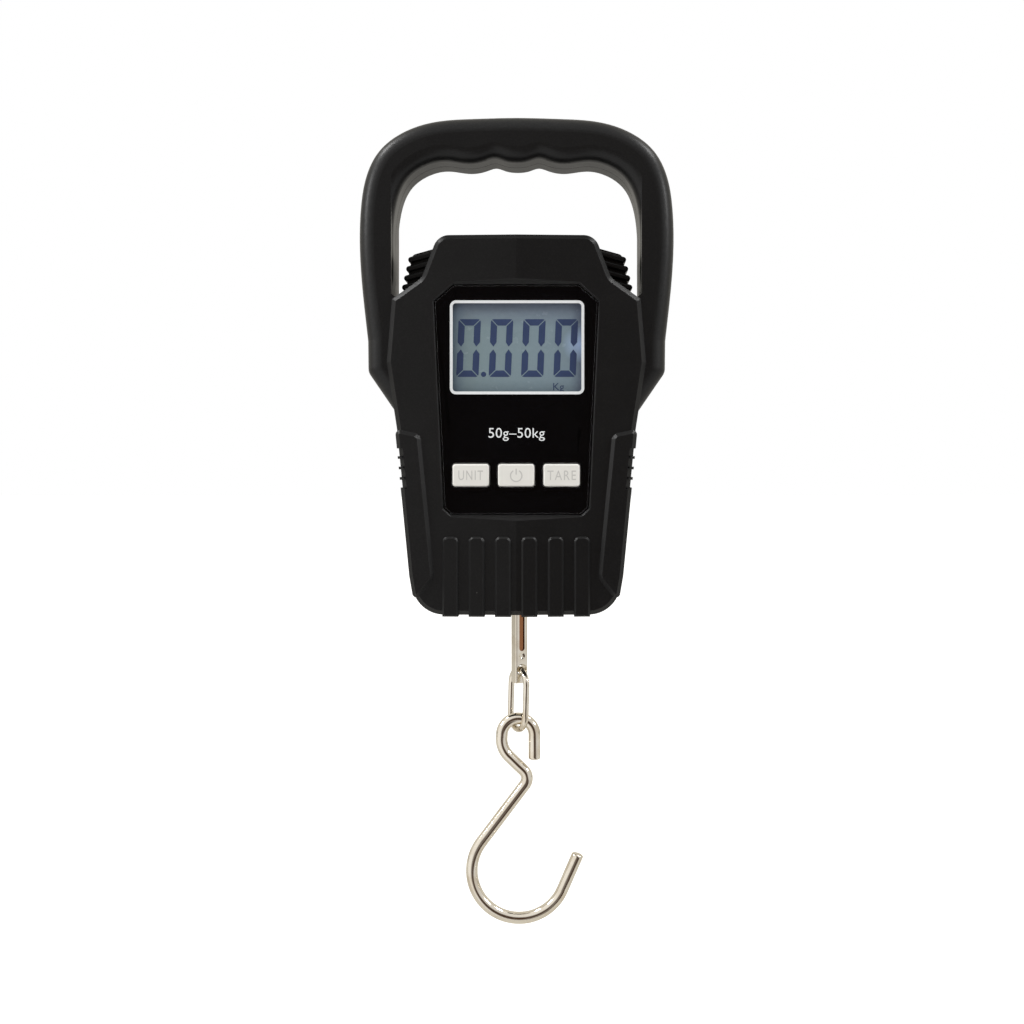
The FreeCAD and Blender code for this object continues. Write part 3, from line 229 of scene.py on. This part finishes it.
def shell_plastic():
    """Black ABS with a fine spark-eroded grain, a little dust and edges painted lighter as a highlight.
    """
    made, shader = new_material("shell_plastic")
    tree = made.node_tree
    cloud = noise(tree, 38.0, 3.0)
    colour = blend_colour(tree, cloud, (0.0034, 0.0034, 0.0036), (0.0054, 0.0052, 0.0052))
    mottle = spread(tree, noise(tree, 2300.0, 2.0, 0.7), 0.0, 0.55, 0.45, 0.75)
    colour = blend_colour(tree, mottle, colour, (0.0125, 0.0122, 0.0120))
    # Painted highlight: the edges are coloured lighter than the flats, standing in for light caught
    # there
    colour = blend_colour(tree, edge_mask(tree), colour, (0.012, 0.012, 0.013))
    colour = blend_colour(tree, specks(tree, 190.0, 0.022, 0.22), colour, (0.40, 0.39, 0.37))
    tree.links.new(colour, shader.inputs["Base Color"])
    grain = noise(tree, 5200.0, 2.0, 0.6)
    rough = spread(tree, noise(tree, 140.0, 4.0), 0.34, 0.42)
    tree.links.new(rough, shader.inputs["Roughness"])
    shader.inputs["Specular IOR Level"].default_value = 0.24
    bump(tree, shader, grain, 0.35, 0.03 * MM)
    return made


def clear_panel():
    """Clear acrylic with a painted highlight along its rim: a pale diffuse colour that stands in for
    light caught there. The film and the glass behind it carry its gloss.
    """
    made, shader = new_material("clear_panel")
    tree = made.node_tree
    tree.nodes.remove(shader)
    clear = add_node(tree, "ShaderNodeBsdfTransparent")
    clear.inputs["Color"].default_value = (0.96, 0.97, 0.97, 1.0)
    painted_rim_highlight = add_node(tree, "ShaderNodeBsdfDiffuse")
    painted_rim_highlight.inputs["Color"].default_value = (0.55, 0.56, 0.58, 1.0)
    edged = add_node(tree, "ShaderNodeMixShader")
    # Painted highlight: a pale grey diffuse colour mixed in along the panel's rim
    tree.links.new(spread(tree, edge_mask(tree, PANEL_EDGE_REACH), 0.0, 0.30), edged.inputs[0])
    tree.links.new(clear.outputs[0], edged.inputs[1])
    tree.links.new(painted_rim_highlight.outputs[0], edged.inputs[2])
    output = tree.nodes["Material Output"]
    tree.links.new(edged.outputs[0], output.inputs["Surface"])
    return made


def black_print():
    """Black ink on the film, seen through the panel and glossy like it."""
    made, shader = new_material("black_print")
    tree = made.node_tree
    cloud = noise(tree, 90.0, 3.0)
    colour = blend_colour(tree, cloud, (0.0015, 0.0015, 0.0020), (0.0030, 0.0030, 0.0038))
    tree.links.new(colour, shader.inputs["Base Color"])
    tree.links.new(spread(tree, noise(tree, 40.0, 3.0), 0.06, 0.10), shader.inputs["Roughness"])
    shader.inputs["Specular IOR Level"].default_value = 0.24
    return made


def display_glass():
    """Reflective liquid crystal: grey-green, with painted shade bluer and darker near its border and a
    painted blue glow near one end.
    """
    made, shader = new_material("display_glass")
    tree = made.node_tree
    centre = middle_of("lcd_glass")
    split = add_node(tree, "ShaderNodeSeparateXYZ")
    tree.links.new(place_on(tree), split.inputs["Vector"])
    x, z = split.outputs["X"], split.outputs["Z"]
    along = spread(tree, x, 0.0, 1.0, centre.x - 18.2 * MM, centre.x + 17.8 * MM)
    colour = blend_colour(tree, along, (0.235, 0.305, 0.325), (0.23, 0.30, 0.355))
    # Painted shade near the border: axis, share at the start and at the end, start and end from the
    # middle in mm, colour
    painted_border_shades = [(z, centre.z, 0.0, 0.85, 5.6, 12.8, (0.15, 0.17, 0.25)),
               (z, centre.z, 0.55, 0.0, -12.8, -8.4, (0.17, 0.23, 0.28)),
               (x, centre.x, 0.60, 0.0, -18.2, -14.2, (0.15, 0.21, 0.31)),
               (x, centre.x, 0.0, 0.75, 15.3, 18.2, (0.12, 0.14, 0.22))]
    for axis, middle, first, last, start, end, shade in painted_border_shades:
        share = spread(tree, axis, first, last, middle + start * MM, middle + end * MM)
        colour = blend_colour(tree, share, colour, shade)
    # Painted glow: a pale blue patch near the right end of the glass, which gives no light itself
    away = add_node(tree, "ShaderNodeVectorMath", operation="DISTANCE")
    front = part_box("lcd_glass")[0].y
    away.inputs[1].default_value = (centre.x + PAINTED_GLOW_PLACE[0], front, centre.z + PAINTED_GLOW_PLACE[1])
    tree.links.new(place_on(tree), away.inputs[0])
    glow = spread(tree, away.outputs["Value"], 0.9, 0.0, *PAINTED_GLOW_REACH)
    colour = blend_colour(tree, glow, colour, (0.46, 0.60, 0.90))
    mottle = spread(tree, noise(tree, 900.0, 3.0), 0.0, 0.12)
    colour = blend_colour(tree, mottle, colour, (0.50, 0.55, 0.57))
    tree.links.new(colour, shader.inputs["Base Color"])
    tree.links.new(spread(tree, noise(tree, 400.0), 0.22, 0.30), shader.inputs["Roughness"])
    return made


def ink(name, colour, rough):
    """Printed or switched-on ink with a faint mottle."""
    made, shader = new_material(name)
    tree = made.node_tree
    darker = tuple(0.86 * c for c in colour)
    mottle = noise(tree, 1600.0, 3.0)
    tree.links.new(blend_colour(tree, mottle, darker, colour), shader.inputs["Base Color"])
    tree.links.new(spread(tree, mottle, rough - 0.06, rough + 0.06), shader.inputs["Roughness"])
    return made


def moulded(name, colour, rough, grain=2600.0, depth=0.02 * MM):
    """Moulded plastic or rubber: slight colour drift, fine grain."""
    made, shader = new_material(name)
    tree = made.node_tree
    darker = tuple(0.88 * c for c in colour)
    drift = blend_colour(tree, noise(tree, 120.0, 3.0), darker, colour)
    lighter = tuple(min(1.0, 1.08 * c) for c in colour)
    tree.links.new(blend_colour(tree, edge_mask(tree), drift, lighter), shader.inputs["Base Color"])
    uneven = spread(tree, noise(tree, 260.0, 3.0), rough - 0.05, rough + 0.05)
    tree.links.new(uneven, shader.inputs["Roughness"])
    bump(tree, shader, noise(tree, grain, 2.0), 0.25, depth)
    return made


def in_groove(tree):
    """1 in the grooves of the hanger's two broad faces, 0 on the faces, the sides and the foot."""
    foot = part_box("hanger_bar")[0].z + GROOVE_FOOT
    local = add_node(tree, "ShaderNodeVectorMath", operation="SUBTRACT")
    local.inputs[1].default_value = middle_of("hanger_bar")
    tree.links.new(place_on(tree), local.inputs[0])
    across = (math.cos(HANGER_YAW), math.sin(HANGER_YAW), 0.0)
    through = (math.sin(HANGER_YAW), -math.cos(HANGER_YAW), 0.0)
    height = add_node(tree, "ShaderNodeSeparateXYZ")
    tree.links.new(place_on(tree), height.inputs["Vector"])
    inside = spread(tree, height.outputs["Z"], 0.0, 1.0, foot - GROOVE_FADE, foot + GROOVE_FADE)
    for axis, limit in ((across, GROOVE_HALF_WIDTH), (through, GROOVE_FLOOR)):
        along = add_node(tree, "ShaderNodeVectorMath", operation="DOT_PRODUCT")
        along.inputs[1].default_value = axis
        tree.links.new(local.outputs["Vector"], along.inputs[0])
        size = add_node(tree, "ShaderNodeMath", operation="ABSOLUTE")
        tree.links.new(along.outputs["Value"], size.inputs[0])
        near = spread(tree, size.outputs[0], 1.0, 0.0, limit - GROOVE_SOFTNESS, limit)
        inside = product(tree, inside, near)
    return inside


def metal(name, colour, rough, stretch, tarnish=None, groove=None):
    """Metal with drawn or brushed marks along one axis, a faint tarnish and perhaps a painted dark
    reflection in a groove.
    """
    made, shader = new_material(name)
    tree = made.node_tree
    shader.inputs["Metallic"].default_value = 1.0
    dull = tarnish or tuple(0.72 * c for c in colour)
    stain = spread(tree, noise(tree, 110.0, 4.0, 0.6), 0.0, 1.0, 0.50, 0.78)
    tint = blend_colour(tree, stain, colour, dull)
    if groove:
        # Painted reflection: a dark brown tint on the metal in the hanger's grooves
        tint = blend_colour(tree, in_groove(tree), tint, groove)
    tree.links.new(tint, shader.inputs["Base Color"])
    marks = noise(tree, METAL_STREAKS, 4.0, 0.6, stretch)
    tree.links.new(spread(tree, marks, rough - 0.05, rough + 0.08, 0.3, 0.7), shader.inputs["Roughness"])
    bump(tree, shader, marks, 0.05, 0.02 * MM)
    return made


def circuit_lacquer():
    """Green solder mask over copper tracks."""
    made, shader = new_material("circuit_lacquer")
    tree = made.node_tree
    tracks = add_node(tree, "ShaderNodeTexBrick")
    tracks.inputs["Scale"].default_value = 260.0
    tracks.inputs["Mortar Size"].default_value = 0.06
    tree.links.new(place_on(tree), tracks.inputs["Vector"])
    colour = blend_colour(tree, tracks.outputs["Fac"], (0.012, 0.10, 0.045), (0.02, 0.17, 0.07))
    tree.links.new(colour, shader.inputs["Base Color"])
    tree.links.new(spread(tree, noise(tree, 300.0), 0.25, 0.4), shader.inputs["Roughness"])
    bump(tree, shader, tracks.outputs["Fac"], 0.3, 0.03 * MM)
    return made


def cell_sleeve():
    """Battery sleeve: dark shrink film with a copper-coloured band at one end."""
    made, shader = new_material("cell_sleeve")
    tree = made.node_tree
    split = add_node(tree, "ShaderNodeSeparateXYZ")
    tree.links.new(place_on(tree), split.inputs["Vector"])
    band = spread(tree, split.outputs["X"], 0.0, 1.0, *SLEEVE_BAND)
    film = blend_colour(tree, noise(tree, 200.0, 3.0), (0.02, 0.022, 0.026), (0.035, 0.037, 0.042))
    tree.links.new(blend_colour(tree, band, film, (0.45, 0.20, 0.07)), shader.inputs["Base Color"])
    tree.links.new(spread(tree, noise(tree, 500.0, 3.0), 0.22, 0.34), shader.inputs["Roughness"])
    shader.inputs["Metallic"].default_value = 0.35
    return made


def finish_node(name, made):
    """Gives a CAD node its material and smooth shading up to the crease angle."""
    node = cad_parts[name]
    node.data.materials.clear()
    node.data.materials.append(made)
    for polygon in node.data.polygons:
        polygon.use_smooth = True
    node.data.set_sharp_from_angle(angle=CREASE_ANGLE)
    tidy = node.modifiers.new("even_shading", "WEIGHTED_NORMAL")
    tidy.keep_sharp = True


def flat_piece(name, loops, y, body, made):
    """Thin printed shapes in the front view, each an (x, z) outline, at depth y."""
    verts, faces = [], []
    for loop in loops:
        count, base = len(loop), len(verts)
        verts += [(x, y, z) for x, z in loop]
        verts += [(x, y + PRINT_THICK, z) for x, z in loop]
        faces.append(tuple(base + i for i in range(count)))
        faces.append(tuple(base + count + i for i in reversed(range(count))))
        for i in range(count):
            j = (i + 1) % count
            faces.append((base + j, base + i, base + count + i, base + count + j))
    mesh = bpy.data.meshes.new(name)
    mesh.from_pydata(verts, [], faces)
    mesh.update()
    return add_piece(name, mesh, body, made)


def add_piece(name, mesh, body, made):
    """Puts a new mesh in the scene, on its CAD body and with its material slot."""
    piece = bpy.data.objects.new(name, mesh)
    bpy.context.scene.collection.objects.link(piece)
    piece.data.materials.append(made)
    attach(piece, body)
    return piece


def lean(x, z, foot):
    """Slants a display shape to the right by its height above the foot."""
    return x + (z - foot) * DIGIT_SLANT, z


def digit_segments(left, foot):
    """Outlines of the six outer segments of a zero: mitred, rounded outside, pointed at half height."""
    w, h, t, r = DIGIT_WIDTH, DIGIT_HEIGHT, SEGMENT, SEGMENT_ROUND
    mitre = SEGMENT_GAP / math.sqrt(2)
    lead = math.degrees(SEGMENT_GAP / 2 / r)
    point = h / 2 + HALVES_GAP / 2
    corner = [(r + r * math.cos(math.radians(a)), h - r + r * math.sin(math.radians(a)))
              for a in (90, 112, 135 - lead, 135 + lead, 158, 180)]
    top = corner[2::-1] + [(w - x, z) for x, z in corner[:3]]
    top += [(w - t - mitre, h - t), (t + mitre, h - t)]
    low = [(x, h - z) for x, z in top]
    shoulder = point + SEGMENT_POINT
    upper_left = corner[3:] + [(0, shoulder), (0.55 * t, point), (t, shoulder), (t, h - t - mitre)]
    upper_right = [(w - x, z) for x, z in upper_left]
    lower_left = [(x, h - z) for x, z in upper_left]
    lower_right = [(w - x, h - z) for x, z in upper_left]
    shapes = [top, low, upper_left, upper_right, lower_left, lower_right]
    loops = []
    for shape in shapes:
        area = sum(a[0] * b[1] - b[0] * a[1] for a, b in zip(shape, shape[1:] + shape[:1]))
        ordered = shape if area > 0 else shape[::-1]
        loops.append([lean(left + x, foot + z, foot) for x, z in ordered])
    return loops


def ring_of(centre, radius, count=24):
    """A circle in the front view, anticlockwise."""
    return [(centre[0] + radius * math.cos(2 * math.pi * i / count),
             centre[1] + radius * math.sin(2 * math.pi * i / count)) for i in range(count)]


def rounded_loop(centre, size, radius, steps=8):
    """Rounded rectangle in the front view, anticlockwise from the right."""
    points = []
    for quarter, (sx, sz) in enumerate(((1, 1), (-1, 1), (-1, -1), (1, -1))):
        cx = centre[0] + sx * (size[0] / 2 - radius)
        cz = centre[1] + sz * (size[1] / 2 - radius)
        for i in range(steps + 1):
            angle = math.pi / 2 * (quarter + i / steps)
            points.append((cx + radius * math.cos(angle), cz + radius * math.sin(angle)))
    return points


def ring_strip(outer, inner):
    """Quads between two outlines of the same count."""
    count = len(outer)
    return [[outer[i], outer[(i + 1) % count], inner[(i + 1) % count], inner[i]] for i in range(count)]


def lettering(name, words, height, centre, y, body, made, spacing=1.0, width=None):
    """Flat printed words facing the front, by the height of their capitals and perhaps their width."""
    text = bpy.data.curves.new(name, "FONT")
    text.body = words
    text.size = 1.0
    text.space_character = spacing
    text.resolution_u = 6
    flat = bpy.data.objects.new(name + "_source", text)
    bpy.context.scene.collection.objects.link(flat)
    bpy.context.view_layer.update()
    shape = bpy.data.meshes.new_from_object(flat.evaluated_get(bpy.context.evaluated_depsgraph_get()))
    bpy.data.objects.remove(flat)
    xs = [v.co.x for v in shape.vertices]
    caps = max(v.co.y for v in shape.vertices)
    scale = height / caps
    middle = (min(xs) + max(xs)) / 2
    across = width / (max(xs) - min(xs)) if width else scale
    for vertex in shape.vertices:
        x, z = (vertex.co.x - middle) * across, vertex.co.y * scale
        vertex.co = (centre[0] + x, y, centre[1] - height / 2 + z)
    shape.name = name
    return add_piece(name, shape, body, made)


def arc_strip(centre, radius, width, start, end, steps=28):
    """A curved stroke as quads, angles in degrees anticlockwise from the right."""
    quads = []
    for i in range(steps):
        a, b = [math.radians(start + (end - start) * k / steps) for k in (i, i + 1)]
        corners = [(a, radius + width / 2), (b, radius + width / 2), (b, radius - width / 2),
                   (a, radius - width / 2)]
        quads.append([(centre[0] + r * math.cos(t), centre[1] + r * math.sin(t)) for t, r in corners])
    return quads


def display():
    """Digits, decimal point and unit on the liquid crystal, and the prints behind the panel."""
    dark = ink("segment_dark", (0.040, 0.062, 0.150), 0.4)
    white = ink("print_white", (0.96, 0.97, 0.98), 0.45)
    glass = middle_of("lcd_glass")
    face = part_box("lcd_glass")[0].y - PRINT_LIFT
    left, foot = glass.x + DIGITS_CORNER[0], glass.z + DIGITS_CORNER[1]
    segments = []
    for i in range(DIGIT_COUNT):
        segments += digit_segments(left + i * DIGIT_PITCH, foot)
    point = (left + DIGIT_WIDTH + POINT_GAP, foot + POINT_SIZE / 2)
    segments.append(ring_of(point, POINT_SIZE / 2))
    flat_piece("lcd_segments", segments, face, "housing", dark)
    place = (glass.x + UNIT_MARK_PLACE[0], glass.z + UNIT_MARK_PLACE[1])
    lettering("lcd_unit_mark", "Kg", UNIT_MARK_HEIGHT, place, face, "housing", dark)
    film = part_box("lens_mask")[0].y - PRINT_LIFT
    centre = (glass.x, glass.z)
    outer = rounded_loop(centre, FRAME_SIZE, FRAME_ROUND)
    inner_size = [size - 2 * FRAME_LINE for size in FRAME_SIZE]
    inner = rounded_loop(centre, inner_size, FRAME_ROUND - FRAME_LINE)
    flat_piece("window_line", ring_strip(outer, inner), film, "housing", white)
    panel = middle_of("lens_mask")
    place = (panel.x + CAPACITY_PLACE[0], panel.z + CAPACITY_PLACE[1])
    lettering("capacity_print", "50g\u201350kg", CAPACITY_HEIGHT, place, film, "housing", white,
              CAPACITY_SPACING)


def key_symbols():
    """Pale function marks on the three keys."""
    grey = ink("key_mark_grey", (0.60, 0.59, 0.56), 0.6)
    for name, words, width in KEY_WORDS:
        node = "button_" + name
        centre = middle_of(node)
        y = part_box(node)[0].y - PRINT_LIFT
        place, body = (centre.x, centre.z), name + "_key"
        lettering("mark_" + name, words, KEY_WORD_HEIGHT, place, y, body, grey,
                  KEY_WORD_SPACING, width)
    centre = middle_of("button_power")
    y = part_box("button_power")[0].y - PRINT_LIFT
    x, z = centre.x, centre.z - POWER_DROP
    quads = arc_strip((x, z), POWER_RING, POWER_STROKE, *POWER_ARC)
    half = POWER_STROKE / 2
    low, high = z + POWER_BAR[0], z + POWER_BAR[1]
    quads.append([(x - half, low), (x + half, low), (x + half, high), (x - half, high)])
    flat_piece("mark_power", quads, y, "power_key", grey)


def dress_nodes():
    """Materials of every CAD node."""
    shell = shell_plastic()
    steel = metal("zinc_steel", (0.62, 0.61, 0.58), 0.34, (1.0, 1.0, 1.0))
    drawn = (1.0, 1.0, 0.12)
    plated, tarnish = (0.72, 0.665, 0.57), (0.54, 0.45, 0.33)
    nickel = metal("bright_nickel", plated, 0.10, drawn, tarnish)
    # The hanger's nickel, with a painted dark reflection in its grooves
    nickel_with_painted_groove = metal("nickel_painted_groove", plated, 0.10, drawn, tarnish, groove=(0.28, 0.12, 0.055))
    aluminium = metal("machined_aluminium", (0.80, 0.81, 0.82), 0.30, (1.0, 0.1, 1.0))
    white = moulded("white_plastic", (0.82, 0.82, 0.80), 0.45)
    key = moulded("cream_key", (0.83, 0.82, 0.77), 0.42, 3600.0, 0.012 * MM)
    rubber = moulded("grey_rubber", (0.16, 0.16, 0.17), 0.7)
    black = moulded("black_plastic", (0.02, 0.02, 0.022), 0.5)
    foil = moulded("gauge_foil", (0.55, 0.28, 0.06), 0.3)
    jacket = moulded("wire_jacket", (0.42, 0.03, 0.025), 0.45)
    table = {
        "front_shell": shell, "rear_shell": shell, "battery_door": shell,
        "housing_screws": steel, "board_screws": steel, "cell_screws": steel, "yoke_screws": steel,
        "load_bracket": steel, "yoke": steel, "swivel_washer": steel, "swivel_nut": steel,
        "battery_springs": steel, "battery_contacts": nickel,
        "hanger_bar": nickel_with_painted_groove, "chain_link": nickel, "hook": nickel,
        "load_cell": aluminium, "strain_gauges": foil,
        "load_cell_wires": jacket, "battery_wires": jacket,
        "lens_panel": clear_panel(), "lens_mask": black_print(), "lcd_glass": display_glass(),
        "backlight": white, "lcd_connectors": rubber, "circuit_board": circuit_lacquer(),
        "controller_chip": black, "switch_bodies": black,
        "plunger_unit": white, "plunger_power": white, "plunger_tare": white,
        "button_unit": key, "button_power": key, "button_tare": key,
        "battery_upper": cell_sleeve(), "battery_lower": cell_sleeve(),
    }
    for name, made in table.items():
        finish_node(name, made)


def floor():
    """A plain pale floor below and behind the hanging scale."""
    front, back, half = -FLOOR_FRONT, FLOOR_REACH, FLOOR_REACH
    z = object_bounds()[0].z - FLOOR_DROP
    mesh = bpy.data.meshes.new("floor")
    corners = [(-half, front, z), (half, front, z), (half, back, z), (-half, back, z)]
    mesh.from_pydata(corners, [], [(0, 1, 2, 3)])
    ground = bpy.data.objects.new("floor", mesh)
    bpy.context.scene.collection.objects.link(ground)
    made, shader = new_material("pale_floor")
    tree = made.node_tree
    shade = blend_colour(tree, noise(tree, 8.0, 3.0), (0.46, 0.455, 0.44), (0.48, 0.475, 0.46))
    tree.links.new(shade, shader.inputs["Base Color"])
    shader.inputs["Roughness"].default_value = 0.9
    shader.inputs["Specular IOR Level"].default_value = 0.0
    seen = add_node(tree, "ShaderNodeLightPath").outputs["Is Camera Ray"]
    glow = blend_colour(tree, seen, (0.10, 0.095, 0.08), (0.9, 0.9, 0.9))
    tree.links.new(glow, shader.inputs["Emission Color"])
    shader.inputs["Emission Strength"].default_value = 1.0
    ground.data.materials.append(made)
    ground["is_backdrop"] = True


def soft_light(name, place, width, power):
    """A square lamp that faces the object."""
    lamp = bpy.data.lights.new(name, "AREA")
    lamp.shape = "RECTANGLE"
    lamp.size, lamp.size_y = width, width
    lamp.energy = power
    holder = bpy.data.objects.new(name, lamp)
    bpy.context.scene.collection.objects.link(holder)
    holder.location = place
    holder.rotation_mode = "QUATERNION"
    holder.rotation_quaternion = (Vector(LAMP_AIM) - Vector(place)).to_track_quat("-Z", "Y")


def world_patch(tree, direction, around, centre, inner, outer, colour):
    """The surroundings with a soft round patch of another colour; angles in degrees from its centre."""
    toward = add_node(tree, "ShaderNodeVectorMath", operation="DOT_PRODUCT")
    toward.inputs[1].default_value = Vector(centre).normalized()
    tree.links.new(direction, toward.inputs[0])
    inside = add_node(tree, "ShaderNodeMapRange", interpolation_type="SMOOTHSTEP")
    inside.inputs["From Min"].default_value = math.cos(math.radians(outer))
    inside.inputs["From Max"].default_value = math.cos(math.radians(inner))
    tree.links.new(toward.outputs["Value"], inside.inputs["Value"])
    return blend_colour(tree, inside.outputs["Result"], around, colour)


def studio():
    """A bright room with soft boxes high at each side, dark where the camera and its stand are."""
    world = bpy.data.worlds.new("studio")
    bpy.context.scene.world = world
    world.use_nodes = True
    tree = world.node_tree
    direction = add_node(tree, "ShaderNodeTexCoord").outputs["Generated"]
    split = add_node(tree, "ShaderNodeSeparateXYZ")
    tree.links.new(direction, split.inputs["Vector"])
    rightward = spread(tree, split.outputs["X"], 0.0, 1.0, -0.8, 0.8)
    backward = spread(tree, split.outputs["Y"], 0.0, 1.0, -0.3, 0.3)
    front = blend_colour(tree, rightward, ROOM_LEFT, ROOM_RIGHT)
    room = blend_colour(tree, backward, front, ROOM_BEHIND)
    for centre, inner, outer, colour in DARK_PATCHES:
        room = world_patch(tree, direction, room, centre, inner, outer, colour)
    seen = add_node(tree, "ShaderNodeLightPath").outputs["Is Camera Ray"]
    back = tree.nodes["Background"]
    tree.links.new(blend_colour(tree, seen, room, WHITE), back.inputs["Color"])
    for side, sign, share in LAMP_SIDES:
        for kind, (x, y, z), width, power in LAMPS:
            soft_light(kind + "_" + side, (sign * x, y, z), width, power * share)


def camera():
    """A level camera in front of the object."""
    made = bpy.data.cameras.new("camera")
    holder = bpy.data.objects.new("camera", made)
    bpy.context.scene.collection.objects.link(holder)
    holder.location = (CAMERA_SIDE, -CAMERA_DISTANCE, CAMERA_HEIGHT)
    holder.rotation_euler = (math.radians(90.0), 0.0, 0.0)
    made.sensor_width = CAMERA_SENSOR
    made.lens = CAMERA_LENS
    made.shift_x, made.shift_y = CAMERA_SHIFT
    made.clip_start = 0.01
    bpy.context.scene.camera = holder


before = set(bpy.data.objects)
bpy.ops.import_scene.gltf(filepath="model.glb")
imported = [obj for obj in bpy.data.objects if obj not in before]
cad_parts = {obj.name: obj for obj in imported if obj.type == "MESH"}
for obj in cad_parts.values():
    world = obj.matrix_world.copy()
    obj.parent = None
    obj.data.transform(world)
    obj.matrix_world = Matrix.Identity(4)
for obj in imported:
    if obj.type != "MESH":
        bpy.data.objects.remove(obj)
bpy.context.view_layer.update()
dress_nodes()
display()
key_symbols()
floor()
studio()
camera()
bpy.context.scene.view_settings.view_transform = "Standard"
